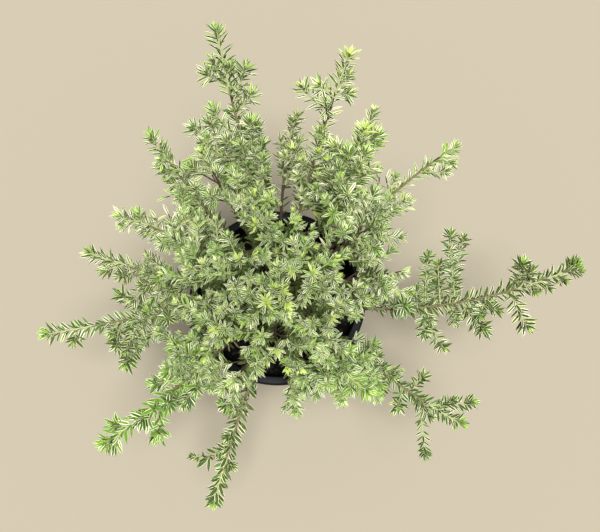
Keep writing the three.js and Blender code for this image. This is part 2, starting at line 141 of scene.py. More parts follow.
# %% A bundle of small shapes that becomes one piece
class Bundle:
    """Points in millimetres and triangles of many shapes, for one piece."""

    def __init__(self):
        self.points, self.faces, self.finishes, self.count = [], [], [], 0

    def add(self, points, faces, finish=0):
        points = np.asarray(points, float).reshape(-1, 3)
        faces = np.asarray(faces, int).reshape(-1, 3)
        self.points.append(points)
        self.faces.append(faces + self.count)
        self.finishes.append(np.broadcast_to(finish, len(faces)))
        self.count += len(points)

    def piece(self, name, materials, slot, replaced=(), sharp_above=None):
        points = np.concatenate(self.points) * MM
        faces = np.concatenate(self.faces)
        finishes = np.concatenate(self.finishes)
        mesh = bpy.data.meshes.new(name)
        mesh.vertices.add(len(points))
        mesh.vertices.foreach_set("co", points.astype(np.float32).ravel())
        mesh.loops.add(faces.size)
        mesh.loops.foreach_set("vertex_index", faces.astype(np.int32).ravel())
        mesh.polygons.add(len(faces))
        mesh.polygons.foreach_set("loop_start", np.arange(len(faces), dtype=np.int32) * 3)
        for material in materials:
            mesh.materials.append(material)
        mesh.polygons.foreach_set("material_index", finishes.astype(np.int32))
        mesh.update(calc_edges=True)
        mesh.validate()
        mesh.shade_smooth()
        if sharp_above is not None:
            mesh.set_sharp_from_angle(angle=math.radians(sharp_above))
        piece = bpy.data.objects.new(name, mesh)
        bpy.context.scene.collection.objects.link(piece)
        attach(piece, "root")
        if replaced:
            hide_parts(*replaced)
        return piece


def grid_faces(rows, columns, closed):
    """Triangles of a grid of points, row after row, whose columns may close on themselves."""
    column = np.arange(columns if closed else columns - 1)
    row = np.arange(rows - 1)[:, None] * columns
    a, b = (row + column).ravel(), (row + (column + 1) % columns).ravel()
    above, below = np.stack([a, b, b + columns], 1), np.stack([a, b + columns, a + columns], 1)
    return np.concatenate([above, below])


print("a grid of 3 by 4 points has", len(grid_faces(3, 4, False)), "triangles")

# %% [markdown]
# ## The nursery pot
#
# The pot is injection-moulded black polypropylene: thin, satin, and stiffened by a rolled
# lip and a wider band under it, which also lets pots stack without sticking. Turning a
# profile about the axis gives the whole shape, as the mould does. The lip is drawn with
# arcs, because its soft edge is what catches the light in an otherwise dark pot. The
# drain holes are cut with a Boolean modifier, the shortest way to a clean round hole.

# %% Arcs, and a profile turned about the pot's axis
def arc(centre, radius, start, end, steps=6):
    """Points on an arc of a profile, between two angles in degrees from outwards."""
    angles = np.radians(np.linspace(start, end, steps + 1))
    return [(centre[0] + radius * math.cos(a), centre[1] + radius * math.sin(a)) for a in angles]


def turned(profile, sides):
    """A closed shape turned from (radius, height) points that start and end on the axis."""
    rolls = np.arange(sides) * 2 * math.pi / sides
    rings = np.array(profile[1:-1])
    points = np.stack([
        rings[:, :1] * np.cos(rolls),
        rings[:, :1] * np.sin(rolls),
        np.repeat(rings[:, 1:], sides, axis=1),
    ], axis=-1).reshape(-1, 3)
    first, last = len(points), len(points) + 1
    poles = [(0, 0, profile[0][1]), (0, 0, profile[-1][1])]
    top = (len(rings) - 1) * sides
    i, j = np.arange(sides), (np.arange(sides) + 1) % sides
    faces = [
        grid_faces(len(rings), sides, True),
        np.stack([np.full(sides, first), j, i], 1),
        np.stack([np.full(sides, last), top + i, top + j], 1),
    ]
    return np.concatenate([points, poles]), np.concatenate(faces)


disc = turned([(0, 0), (10, 0), (10, 5), (0, 5)], 12)
print("a disc turned in 12 sides has", len(disc[1]), "triangles")

# %% The pot's measures, in millimetres, and its section
POT_HEIGHT = pot_high[2]
POT_LIP_RADIUS = pot_high[0]
POT_LIP_DEPTH = 9
POT_LIP_ROUND = 2.6
POT_BAND_RADIUS = 91
POT_BAND_HEIGHT = 158
POT_STEP = 2
POT_BASE_RADIUS = 72
POT_BASE_ROUND = 3
POT_WALL = 2.4
POT_INNER_CORNER = 2
POT_SIDES = 180


def pot_inside(height):
    """The pot's inner radius at a height, below its band."""
    share = min(height / POT_BAND_HEIGHT, 1)
    return POT_BASE_RADIUS + share * (POT_BAND_RADIUS - POT_STEP - POT_BASE_RADIUS) - POT_WALL


def pot_profile():
    """The pot's section, from the middle of its underside round to the middle of its floor."""
    rim, under = POT_LIP_RADIUS, POT_HEIGHT - POT_LIP_DEPTH
    mouth = pot_inside(POT_BAND_HEIGHT) + POT_STEP
    small = POT_LIP_ROUND / 2
    return [
        (0, 0),
        *arc((POT_BASE_RADIUS - POT_BASE_ROUND, POT_BASE_ROUND), POT_BASE_ROUND, -90, -5),
        *arc((POT_BAND_RADIUS - POT_STEP - small, POT_BAND_HEIGHT - small), small, 0, 60, 3),
        *arc((POT_BAND_RADIUS - small, POT_BAND_HEIGHT + POT_STEP), small, -60, 0, 3),
        *arc((POT_BAND_RADIUS + small, under - small), small, 180, 90, 3),
        *arc((rim - small, under + small), small, -90, 0, 4),
        *arc((rim - POT_LIP_ROUND, POT_HEIGHT - POT_LIP_ROUND), POT_LIP_ROUND, 0, 90),
        *arc((mouth + small, POT_HEIGHT - small), small, 90, 180, 4),
        (mouth, POT_BAND_HEIGHT + POT_STEP),
        (pot_inside(POT_BAND_HEIGHT), POT_BAND_HEIGHT),
        (pot_inside(POT_WALL), POT_WALL + POT_INNER_CORNER),
        (pot_inside(POT_WALL) - POT_INNER_CORNER, POT_WALL),
        (0, POT_WALL),
    ]


print("pot section:", len(pot_profile()), "points, mouth", round(2 * pot_inside(POT_BAND_HEIGHT)), "mm")

# %% [markdown]
# Black polypropylene from a mould has a very fine grain, which turns its shine into a
# satin one. Handling leaves paler scuffs, and watering leaves a thin, patchy film of dust.
# The grain of about a millimetre is far too fine for a picture of the whole plant, so it
# only softens the shine, while the scuffs and dust can be seen.

# %% Black polypropylene
def polypropylene():
    finish, tree = new_finish("injection-moulded black polypropylene")
    place = add_node(tree, "ShaderNodeTexCoord").outputs["Object"]
    grain = add_node(tree, "ShaderNodeTexNoise", {
        "Vector": place, "Scale": per_metre(1.2), "Detail": 2.0, "Roughness": 0.5})
    film = add_node(tree, "ShaderNodeTexNoise", {
        "Vector": place, "Scale": per_metre(38), "Detail": 6.0, "Roughness": 0.6})
    stretched = add_node(tree, "ShaderNodeMapping", {"Vector": place, "Scale": (1, 1, 0.12)})
    scuffs = add_node(tree, "ShaderNodeTexNoise", {
        "Vector": stretched.outputs["Vector"], "Scale": per_metre(3), "Detail": 3.0, "Roughness": 0.7})
    scuffed = add_node(tree, "ShaderNodeMapRange", {
        "Value": scuffs.outputs["Fac"], "From Min": 0.62, "From Max": 0.8, "To Max": 0.35})
    dusty = add_node(tree, "ShaderNodeValToRGB", {"Fac": film.outputs["Fac"]},
                     stops=[(0.35, "#050609"), (0.62, "#090b0e"), (0.8, "#121518")])
    colour = add_node(tree, "ShaderNodeMix", {
        "Factor": scuffed.outputs["Result"], "A": dusty.outputs["Color"], "B": linear("#26292c"),
    }, data_type="RGBA")
    gloss = add_node(tree, "ShaderNodeMapRange", {
        "Value": film.outputs["Fac"], "From Min": 0.3, "From Max": 0.7, "To Min": 0.5, "To Max": 0.66})
    bump = add_node(tree, "ShaderNodeBump", {
        "Height": grain.outputs["Fac"], "Strength": 0.12, "Distance": 0.15 * MM})
    shader = add_node(tree, "ShaderNodeBsdfPrincipled", {
        "Base Color": colour.outputs["Result"], "Roughness": gloss.outputs["Result"],
        "IOR": 1.49, "Specular IOR Level": 0.15, "Normal": bump.outputs["Normal"]})
    add_node(tree, "ShaderNodeOutputMaterial", {"Surface": shader.outputs["BSDF"]})
    return finish


black_polypropylene = polypropylene()
print("finish:", black_polypropylene.name, "of", len(black_polypropylene.node_tree.nodes), "nodes")

# %% Mould the pot and drill its drain holes
MOULDED_EDGE = 38
DRAIN_HOLES = 8
DRAIN_RADIUS = 6
DRAIN_RING_RADIUS = 54
DRILL_SIDES = 28
DRILL_FROM = -5
DRILL_TO = POT_WALL + 1.5


def drain_drills():
    """A ring of round bars that stand through the pot's floor."""
    bundle = Bundle()
    bar = [(0, DRILL_FROM), (DRAIN_RADIUS, DRILL_FROM), (DRAIN_RADIUS, DRILL_TO), (0, DRILL_TO)]
    points, faces = turned(bar, DRILL_SIDES)
    for i in range(DRAIN_HOLES):
        roll = (i + 0.5) * 2 * math.pi / DRAIN_HOLES
        centre = (DRAIN_RING_RADIUS * math.cos(roll), DRAIN_RING_RADIUS * math.sin(roll), 0)
        bundle.add(points + centre, faces)
    return bundle.piece("drills", [], "pot_plastic")


def cut_away(pot, drills):
    """Cuts the drills out of the pot for good, and clears them away."""
    cut = pot.modifiers.new("drain holes", "BOOLEAN")
    cut.operation, cut.solver, cut.object = "DIFFERENCE", "EXACT", drills
    bpy.context.view_layer.update()
    shape = bpy.data.meshes.new_from_object(pot.evaluated_get(bpy.context.evaluated_depsgraph_get()))
    pot.modifiers.clear()
    pot.data = shape
    bpy.data.objects.remove(drills)
    pot.data.set_sharp_from_angle(angle=math.radians(MOULDED_EDGE))


bundle = Bundle()
bundle.add(*turned(pot_profile(), POT_SIDES))
pot = bundle.piece("nursery_pot", [black_polypropylene], "pot_plastic", ["pot"],
                   sharp_above=MOULDED_EDGE)
cut_away(pot, drain_drills())
print("pot:", len(pot.data.polygons), "faces with", DRAIN_HOLES, "drain holes")

# %% [markdown]
# ## The potting mix
#
# The mix is composted pine bark. Its browns are darkened to almost black as painted shade,
# the shade that falls into the pot under the crown. Its top is uneven, so the disc is pushed
# up and down by noise, and loose chips of bark lie on it. Only glimpses of it show between
# the shoots, but they give the crown its depth. A chip is a small block with its corners
# moved at random, which reads as a broken flake at this size. The mix is matt with a dull
# gleam at most, and three dark browns let single chips stand out of it.

# %% The body of the mix, with an uneven top
MIX_TOP = mix_high[2]
MIX_SIDES = 96
MIX_RINGS = 30
MIX_CLEAR = 0.3
MIX_EDGE = 4
MIX_SUNK = 1
MIX_SWELL = 2.2
SWELL_WIDTH = 22
CRUMB_WIDTH = 5


def mix_height(x, y):
    """The height of the uneven top of the mix above a place, in millimetres."""
    coarse = noise.noise(Vector((x / SWELL_WIDTH, y / SWELL_WIDTH, 0.3)))
    fine = noise.noise(Vector((x / CRUMB_WIDTH, y / CRUMB_WIDTH, 4.7)))
    return MIX_TOP - MIX_SUNK + MIX_SWELL * (0.7 * coarse + 0.4 * fine)


def mix_shape():
    """A turned plug whose top rings follow the uneven height."""
    bottom, wall = mix_low[2], pot_inside(POT_BAND_HEIGHT) - MIX_CLEAR
    top = [(wall * (1 - (k + 0.5) / MIX_RINGS), MIX_TOP) for k in range(MIX_RINGS)]
    side = [(0, bottom), (pot_inside(bottom) - MIX_CLEAR, bottom), (wall, MIX_TOP - MIX_EDGE)]
    points, faces = turned([*side, *top, (0, MIX_TOP)], MIX_SIDES)
    for point in points:
        if point[2] > MIX_TOP - MIX_SUNK:
            point[2] = mix_height(point[0], point[1])
    return points, faces


def composted_bark():
    finish, tree = new_finish("composted pine bark, darkened as painted shade")
    place = add_node(tree, "ShaderNodeTexCoord").outputs["Object"]
    crumbs = add_node(tree, "ShaderNodeTexVoronoi", {"Vector": place, "Scale": per_metre(2.4)})
    damp = add_node(tree, "ShaderNodeTexNoise", {
        "Vector": place, "Scale": per_metre(14), "Detail": 5.0, "Roughness": 0.65})
    shade = add_node(tree, "ShaderNodeMix", {
        "Factor": 0.5, "A": damp.outputs["Fac"], "B": crumbs.outputs["Distance"]}, data_type="FLOAT")
    # These near-black stops are painted shade inside the pot; the noise only mottles them as bark does.
    colour = add_node(tree, "ShaderNodeValToRGB", {"Fac": shade.outputs["Result"]},
                      stops=[(0.25, "#040403"), (0.5, "#090806"), (0.75, "#13100c")])
    bump = add_node(tree, "ShaderNodeBump", {
        "Height": crumbs.outputs["Distance"], "Strength": 0.8, "Distance": 1.2 * MM})
    shader = add_node(tree, "ShaderNodeBsdfPrincipled", {
        "Base Color": colour.outputs["Color"], "Roughness": 0.92, "Specular IOR Level": 0.1,
        "Normal": bump.outputs["Normal"]})
    add_node(tree, "ShaderNodeOutputMaterial", {"Surface": shader.outputs["BSDF"]})
    return finish


bundle = Bundle()
bundle.add(*mix_shape())
mix = bundle.piece("potting_mix_body", [composted_bark()], "potting_mix", ["potting_mix"])
print("mix: its top is", round(POT_HEIGHT - MIX_TOP), "mm under the pot's, in",
      len(mix.data.polygons), "triangles")

# %% Loose chips of bark
# A chip's width and thickness are shares of its length, and its turn and tilt are in
# radians. The higher CHIP_SHORT is, the more of the chips are short.
CHIPS = 1500
CHIP_LENGTHS = (2.5, 10)
CHIP_WIDTHS = (0.55, 0.85)
CHIP_THICKNESS = 0.28
CHIP_BROKEN = 0.35
CHIP_TURN = 6.28
CHIP_TILT = 0.9
CHIP_SHORT = 2.5
CHIP_RAISED = 0.12
CHIP_EDGE = 25
BLOCK_CORNERS = np.array([[x, y, z] for x in (-1, 1) for y in (-1, 1) for z in (-1, 1)], float)
BLOCK_FACES = np.array([
    [0, 1, 3], [0, 3, 2], [4, 6, 7], [4, 7, 5], [0, 4, 5], [0, 5, 1],
    [2, 3, 7], [2, 7, 6], [0, 2, 6], [0, 6, 4], [1, 5, 7], [1, 7, 3]])
# The chips' browns are darkened towards black as painted shade inside the pot.
CHIP_FINISHES = [
    plain_finish("bark chip, dark", "#0b0907", 0.9),
    plain_finish("bark chip, brown", "#16110d", 0.9),
    plain_finish("bark chip, weathered", "#261f18", 0.9),
]


def lerp(start, end, share):
    """The value at a share of the way from a start to an end."""
    return start + (end - start) * share


def bark_chip(rng):
    """A broken block that lies on the mix, somewhere inside the pot."""
    reach = (pot_inside(POT_BAND_HEIGHT) - CHIP_LENGTHS[1] / 2) * math.sqrt(rng.random())
    roll = 2 * math.pi * rng.random()
    x, y = reach * math.cos(roll), reach * math.sin(roll)
    length = lerp(*CHIP_LENGTHS, rng.random() ** CHIP_SHORT)
    corners = BLOCK_CORNERS * length / 2 * (1, lerp(*CHIP_WIDTHS, rng.random()), CHIP_THICKNESS)
    corners *= 1 + CHIP_BROKEN * (rng.random((8, 3)) - 0.5)
    turn = Matrix.Rotation(CHIP_TURN * rng.random(), 3, "Z")
    tilt = Matrix.Rotation(CHIP_TILT * (rng.random() - 0.5), 3, "X")
    return corners @ np.array(turn @ tilt).T + (x, y, mix_height(x, y) + CHIP_RAISED * length)


rng = np.random.default_rng(11)
bundle = Bundle()
for i in range(CHIPS):
    bundle.add(bark_chip(rng), BLOCK_FACES, i % len(CHIP_FINISHES))
bundle.piece("bark_chips", CHIP_FINISHES, "potting_mix", sharp_above=CHIP_EDGE)
print("bark:", CHIPS, "chips")

# %% [markdown]
# ## The growing rule
#
# Each shoot of the frame is one smooth curve that leaves the trunk on one of seven tiers,
# passes through a point half way and ends at its tip. Its inner third is the bough and the
# rest is the stem of its mass. Side twigs leave the stem at named places, and more fill the
# space between them from a seeded run of numbers. The same table and the same rule are
# written here again, so that what grows below starts exactly on the frame's limbs. A
# heading is an angle in degrees from +X towards +Y, a reach is a distance from the pot's
# axis, and a height is above the ground, both in millimetres.
#
# The table's numbers weren't worked out in this file, but by other scripts. Middles and
# tips were read from the photograph and given a guessed height, and the camera's sums made
# them headings and reaches. The side shoots were worked out in the same way, and most of
# them were then changed a little. A search chose the tiers, so that the boughs keep clear
# of each other.

# %% The shoots: name, tier, middle and tip as [heading, reach, height], and side shoots
# Each side shoot is [share of the way along, swing from the heading, length, rise].
SHOOTS = [
    ("right_wand", 1, [353, 157, 232], [3, 307, 272],
     [[0.48, -65, 52, 5], [0.5, 94, 72, 50], [0.58, 78, 80, 40], [0.62, -66, 40, 12],
      [0.78, -82, 43, -5], [0.8, 70, 32, 38]]),
    ("right_low", 2, [359, 67, 285], [3, 123, 290],
     [[0.4, -50, 58, 48], [0.5, 32, 43, 20], [0.6, -16, 31, 40]]),
    ("right_mid", 4, [25, 72, 305], [28, 127, 322],
     [[0.6, 38, 48, 12], [0.7, -33, 16, -10]]),
    ("right_upper_wand", 2, [37, 143, 288], [36, 215, 312],
     [[0.5, 74, 24, 32], [0.85, -60, 16, -20]]),
    ("upper_right", 3, [52, 93, 315], [57, 143, 378],
     [[0.5, -160, 54, 57], [0.6, -31, 33, 28], [0.7, 70, 30, 33], [0.8, -28, 28, 30]]),
    ("crown_back", 5, [68, 31, 290], [67, 44, 362],
     [[0.6, 155, 49, 75], [0.62, -76, 46, 68]]),
    ("back_right_leader", 1, [73, 116, 300], [71, 202, 385],
     [[0.5, 2, 43, 45], [0.74, 75, 37, 15], [0.8, 88, 23, 37], [0.82, -72, 16, 0]]),
    ("back_pair", 5, [87, 106, 262], [83, 165, 310],
     [[0.45, -16, 65, 43], [0.5, 33, 42, 42]]),
    ("back_left_leader", 7, [105, 114, 312], [105, 218, 400],
     [[0.55, 53, 58, 18], [0.6, -58, 26, 46], [0.7, -70, 30, 40], [0.74, -46, 42, 48],
      [0.8, 60, 28, 36]]),
    ("crown_back_left", 6, [115, 33, 285], [117, 46, 350],
     [[0.5, -36, 59, 49], [0.52, 7, 72, 38], [0.62, -2, 56, 50]]),
    ("upper_left_high", 3, [122, 82, 290], [123, 134, 335],
     [[0.6, -6, 36, 55], [0.7, 30, 35, 25]]),
    ("upper_left", 1, [135, 109, 290], [134, 170, 350],
     [[0.5, -26, 32, 74], [0.6, 70, 28, -8], [0.8, 90, 12, 45]]),
    ("left_upper", 4, [156, 98, 272], [160, 162, 320],
     [[0.55, -82, 38, 57], [0.6, 68, 25, 43], [0.72, -90, 20, 55], [0.82, -62, 15, 50]]),
    ("left", 5, [174, 102, 246], [171, 195, 270],
     [[0.5, 45, 40, -8], [0.6, 110, 30, 62], [0.7, 24, 18, 8]]),
    ("crown_low_left", 2, [183, 51, 270], [174, 71, 325],
     [[0.5, -72, 64, 58], [0.6, 19, 42, 38], [0.62, -39, 52, 37]]),
    ("crown_left", 5, [181, 23, 295], [175, 36, 368],
     [[0.5, -80, 53, 72], [0.52, 52, 57, 62], [0.62, 24, 48, 58]]),
    ("far_left", 1, [191, 128, 216], [191, 247, 226],
     [[0.45, 40, 50, 8], [0.5, -36, 49, 18], [0.6, 72, 56, 18], [0.68, 86, 35, 26],
      [0.86, 74, 17, 12]]),
    ("front_left", 2, [225, 128, 228], [223, 233, 256],
     [[0.6, 40, 32, 60], [0.68, -28, 28, 33], [0.72, 20, 27, 54], [0.76, 76, 28, -5],
      [0.86, -44, 17, 30]]),
    ("crown_front_left", 4, [227, 49, 265], [224, 81, 335],
     [[0.5, -43, 64, 45], [0.62, -65, 54, 74]]),
    ("front_low", 3, [250, 69, 240], [246, 110, 275],
     [[0.58, -10, 40, 78], [0.62, -52, 44, 25]]),
    ("front_wand", 1, [253, 126, 214], [253, 228, 200],
     [[0.5, -74, 33, 54], [0.75, -72, 42, -16]]),
    ("crown_centre", 7, [253, 26, 310], [257, 44, 405],
     [[0.5, 114, 70, 80], [0.6, -20, 58, 74]]),
    ("crown_front", 6, [267, 45, 275], [270, 77, 330],
     [[0.5, -28, 52, 43], [0.6, 49, 51, 53]]),
    ("front_short", 5, [279, 76, 235], [278, 130, 250],
     [[0.5, 16, 37, 47]]),
    ("front_right", 2, [304, 84, 262], [308, 139, 285],
     [[0.5, -49, 32, 25], [0.6, -29, 31, 2], [0.7, 86, 38, 24]]),
    ("crown_front_right", 5, [313, 39, 285], [315, 70, 355],
     [[0.5, -39, 62, 60], [0.58, -17, 50, 38], [0.62, 49, 56, 55]]),
    ("lower_right", 4, [321, 135, 228], [323, 234, 238],
     [[0.5, -135, 46, 44], [0.64, -78, 30, 32], [0.68, 90, 26, 35], [0.74, -51, 60, -10],
      [0.8, 37, 45, 10]]),
    ("crown_right", 6, [338, 20, 300], [337, 34, 385],
     [[0.5, -4, 62, 59], [0.6, 46, 56, 66], [0.64, 123, 52, 74]]),
]
print("table:", len(SHOOTS), "shoots with", sum(len(row[-1]) for row in SHOOTS), "named side shoots")

# %% The measures of the rule
# Lengths are in millimetres, angles in degrees, and the rest are shares of a length.
GAP = 0.3
TRUNK_FOOT = MIX_TOP + GAP
TRUNK_HEIGHT = 96
TRUNK_LEAN = (5, 4)
TRUNK_FOOT_RADIUS = 6.4
TRUNK_TOP_RADIUS = 4.6
TRUNK_FLARE = 3.2
FLARE_SPREAD = 0.09
FIRST_TIER = MIX_TOP + 16
TIER_STEP = 13
BOUGH_SHARE = 0.31
BOUGH_ROOT_RADIUS = 2.4
BOUGH_TIP_RADIUS = 1.9
TWIG_SAG = 0.12
FILL_STEP = 64
FILL_FIRST = 0.35
FILL_SHIFT = 0.3
FILL_END = 0.6
FILL_LENGTH = (42, 24)
FILL_LENGTH_RANGE = (0.85, 1.15)
FILL_ANGLE = 48
FILL_LIFT = 0.55
FILL_TURN = 60
GOLDEN_ANGLE = 137.5
TWIG_CLEAR = 6
print("tiers: the first", round(FIRST_TIER - MIX_TOP), "mm above the mix, then one each", TIER_STEP, "mm")

# %% Curves with three points, and the directions on them
UP = np.array([0.0, 0.0, 1.0])
CURVE_STEPS = 64


def place(heading, reach, height):
    """A point from its heading, reach and height."""
    angle = math.radians(heading)
    return np.array([reach * math.cos(angle), reach * math.sin(angle), height])


def unit(vectors):
    """Vectors at a length of 1."""
    return vectors / np.linalg.norm(vectors, axis=-1, keepdims=True)


def point_on(curve, share):
    """The points of a curve at shares of its way."""
    s = np.asarray(share, float)[..., None]
    return (1 - s) ** 2 * curve[0] + 2 * s * (1 - s) * curve[1] + s ** 2 * curve[2]


def along_at(curve, share):
    """The direction of a curve at shares of its way."""
    s = np.asarray(share, float)[..., None]
    return unit((1 - s) * (curve[1] - curve[0]) + s * (curve[2] - curve[1]))


def length_of(curve):
    """A curve's length, measured along many short steps."""
    points = point_on(curve, np.linspace(0, 1, CURVE_STEPS + 1))
    return np.linalg.norm(np.diff(points, axis=0), axis=1).sum()


def stretch(curve, start, end):
    """The part of a curve between two shares of its way, as a curve of its own."""
    a, b, c = curve
    outer = a * (1 - start) * (1 - end)
    middle = outer + b * (start * (1 - end) + end * (1 - start)) + c * start * end
    return np.array([point_on(curve, start), middle, point_on(curve, end)])


def frame_on(curve, share):
    """The direction of a curve at shares of its way, and two more square to it."""
    along = along_at(curve, share)
    bend = np.cross(curve[1] - curve[0], curve[2] - curve[1])
    # A straight curve has no bend, and any direction square to it will do.
    if np.linalg.norm(bend) < 1e-3:
        first = along.reshape(-1, 3)[0]
        bend = np.cross(UP if abs(first[2]) < 0.9 else [1.0, 0, 0], first)
    across = np.broadcast_to(unit(bend), along.shape)
    return along, across, np.cross(along, across)


def outwards(across, other, roll):
    """The direction at a roll, in degrees, about a curve."""
    angle = np.radians(roll)[..., None]
    return across * np.cos(angle) + other * np.sin(angle)


TRUNK = np.array([
    [0, 0, TRUNK_FOOT],
    [0, 0, TRUNK_FOOT + TRUNK_HEIGHT / 2],
    [*TRUNK_LEAN, TRUNK_FOOT + TRUNK_HEIGHT],
])
print("trunk:", round(length_of(TRUNK), 1), "mm long, topped at", point_on(TRUNK, 1).round())

# %% Twigs that are named, and twigs that fill the space between them
def seeded_numbers(seed):
    """The same run of numbers from 0 to 1 for the same seed."""
    state = (seed * 7919 + 12345) % 2 ** 32
    while True:
        state = (state * 1664525 + 1013904223) % 2 ** 32
        yield state / 2 ** 32


def twig_from(root, direction, length):
    """A twig that leaves its stem flatter than it ends, as if reaching for light."""
    return np.array([root, root + direction * length / 2 - UP * TWIG_SAG * length, root + direction * length])


def side_twig(bough, stem, share, swing, length, rise):
    """A side shoot, from the share of the shoot's way at which it leaves its stem or bough."""
    on_bough = share < BOUGH_SHARE
    limb = bough if on_bough else stem
    on_limb = share / BOUGH_SHARE if on_bough else (share - BOUGH_SHARE) / (1 - BOUGH_SHARE)
    along = along_at(limb, on_limb)
    heading = math.degrees(math.atan2(along[1], along[0])) + swing
    direction = place(heading, math.cos(math.radians(rise)), math.sin(math.radians(rise)))
    return twig_from(point_on(limb, on_limb), direction, length)


def fill_twigs(stem, numbers):
    """Twigs that fill a stem between the named ones, longest near its root."""
    count = int(length_of(stem) / FILL_STEP)
    twigs = []
    for i in range(count):
        share = (i + FILL_FIRST + FILL_SHIFT * next(numbers)) / (count + FILL_END)
        roll = i * GOLDEN_ANGLE + FILL_TURN * next(numbers)
        along, across, other = frame_on(stem, share)
        out = outwards(across, other, np.array(roll))
        angle = math.radians(FILL_ANGLE)
        direction = unit(along * math.cos(angle) + out * math.sin(angle) + UP * FILL_LIFT)
        length = lerp(*FILL_LENGTH, share) * lerp(*FILL_LENGTH_RANGE, next(numbers))
        twigs.append(twig_from(point_on(stem, share), direction, length))
    return twigs


numbers = seeded_numbers(1)
print("the first shoot's run of numbers starts", [round(next(numbers), 3) for _ in range(3)])

# %% Grow the frame's boughs, stems and twigs again
TRUNK_RUNS, BOUGH_RUNS, STEM_RUNS, TWIG_RUNS = 7, 3, 5, 2


def grow_shoot(row, index):
    """A shoot's bough, its stem and the twigs that it would like to have."""
    name, tier, middle, tip, sides = row
    start = point_on(TRUNK, (FIRST_TIER + (tier - 1) * TIER_STEP - TRUNK_FOOT) / TRUNK_HEIGHT)
    end = place(*tip)
    curve = np.array([start, 2 * place(*middle) - (start + end) / 2, end])
    gap_share = GAP / length_of(curve)
    bough, stem = stretch(curve, 0, BOUGH_SHARE), stretch(curve, BOUGH_SHARE + gap_share, 1)
    wanted = [side_twig(bough, stem, *side) for side in sides]
    wanted += fill_twigs(stem, seeded_numbers(index + 1))
    return {"name": name, "bough": bough, "stem": stem, "wanted": wanted, "twigs": [], "finer": []}


def chain(curve, runs):
    """A curve as straight runs, each from a point to the next."""
    points = point_on(curve, np.linspace(0, 1, runs + 1))
    return np.stack([points[:-1], points[1:]], axis=1)


def wood_of(shoots):
    """The trunk and every limb of some shoots, as straight runs."""
    wood = [chain(TRUNK, TRUNK_RUNS)]
    for shoot in shoots:
        wood += [chain(shoot["bough"], BOUGH_RUNS), chain(shoot["stem"], STEM_RUNS)]
        wood += [chain(twig, TWIG_RUNS) for twig in [*shoot["twigs"], *shoot["finer"]]]
    return np.concatenate(wood)


def room_to(runs, points):
    """The least distance from any of some points to any of the straight runs."""
    start, way = runs[:, 0], runs[:, 1] - runs[:, 0]
    share = np.einsum("psk,sk->ps", points[:, None] - start, way) / (way ** 2).sum(1)
    closest = start + np.clip(share, 0, 1)[..., None] * way
    return np.linalg.norm(points[:, None] - closest, axis=2).min()


shoots = [grow_shoot(row, index) for index, row in enumerate(SHOOTS)]
for shoot in shoots:
    wood = wood_of([other for other in shoots if other is not shoot])
    for twig in shoot["wanted"]:
        if room_to(wood, point_on(twig, np.linspace(0, 1, 5))) > TWIG_CLEAR:
            shoot["twigs"].append(twig)
print("rule:", len(shoots), "shoots,", sum(len(shoot["twigs"]) for shoot in shoots), "twigs")

# %% [markdown]
# ## Where things are seen
#
# The camera comes before the foliage, because the foliage is opened where the photograph
# shows gaps: dark ones that look down into the pot, and pale ones that look past it. A
# place in the picture is given in pixels, and the camera's own sums turn any point of the
# plant into one. The camera looks down steeply from about 0.9 m above the pot's lip, as
# someone does who stands over the plant.

# %% The camera, and the place of a point in the picture
CAMERA_DISTANCE = 889
CAMERA_ELEVATION = 80
SENSOR_WIDTH = 36
IMAGE_WIDTH = 600
IMAGE_FOCAL = 800
IMAGE_CENTRE = (300, 266)
LIP_PIXEL = (278, 296)


def camera_axes():
    """The camera's place and its directions to the right, up and ahead."""
    elevation = math.radians(CAMERA_ELEVATION)
    away = np.array([0, -math.cos(elevation), math.sin(elevation)])
    pitch = elevation - math.atan((LIP_PIXEL[1] - IMAGE_CENTRE[1]) / IMAGE_FOCAL)
    yaw = math.atan((LIP_PIXEL[0] - IMAGE_CENTRE[0]) / IMAGE_FOCAL)
    level, ahead = np.array([1.0, 0, 0]), np.array([0, math.cos(pitch), -math.sin(pitch)])
    up = np.cross(level, ahead)
    right = level * math.cos(yaw) + ahead * math.sin(yaw)
    ahead = ahead * math.cos(yaw) - level * math.sin(yaw)
    return CAMERA_DISTANCE * away + (0, 0, POT_HEIGHT), right, up, ahead


CAMERA_SPOT, CAMERA_RIGHT, CAMERA_UP, CAMERA_AHEAD = camera_axes()


def seen_at(points):
    """The pixels at which points are seen in the picture."""
    way = points - CAMERA_SPOT
    depth = way @ CAMERA_AHEAD
    return np.stack([IMAGE_CENTRE[0] + IMAGE_FOCAL * (way @ CAMERA_RIGHT) / depth,
                     IMAGE_CENTRE[1] - IMAGE_FOCAL * (way @ CAMERA_UP) / depth], axis=-1)


camera = bpy.data.objects.new("camera", bpy.data.cameras.new("camera"))
camera.data.sensor_width, camera.data.clip_start = SENSOR_WIDTH, 0.05
camera.data.lens = IMAGE_FOCAL * SENSOR_WIDTH / IMAGE_WIDTH
turn = Matrix(np.column_stack([CAMERA_RIGHT, CAMERA_UP, -CAMERA_AHEAD]).tolist()).to_4x4()
camera.matrix_world = Matrix.Translation(Vector(CAMERA_SPOT * MM)) @ turn
bpy.context.scene.collection.objects.link(camera)
bpy.context.scene.camera = camera
print("lip seen at", seen_at(np.array([[0, 0, POT_HEIGHT]])).round(), "through", camera.data.lens, "mm")
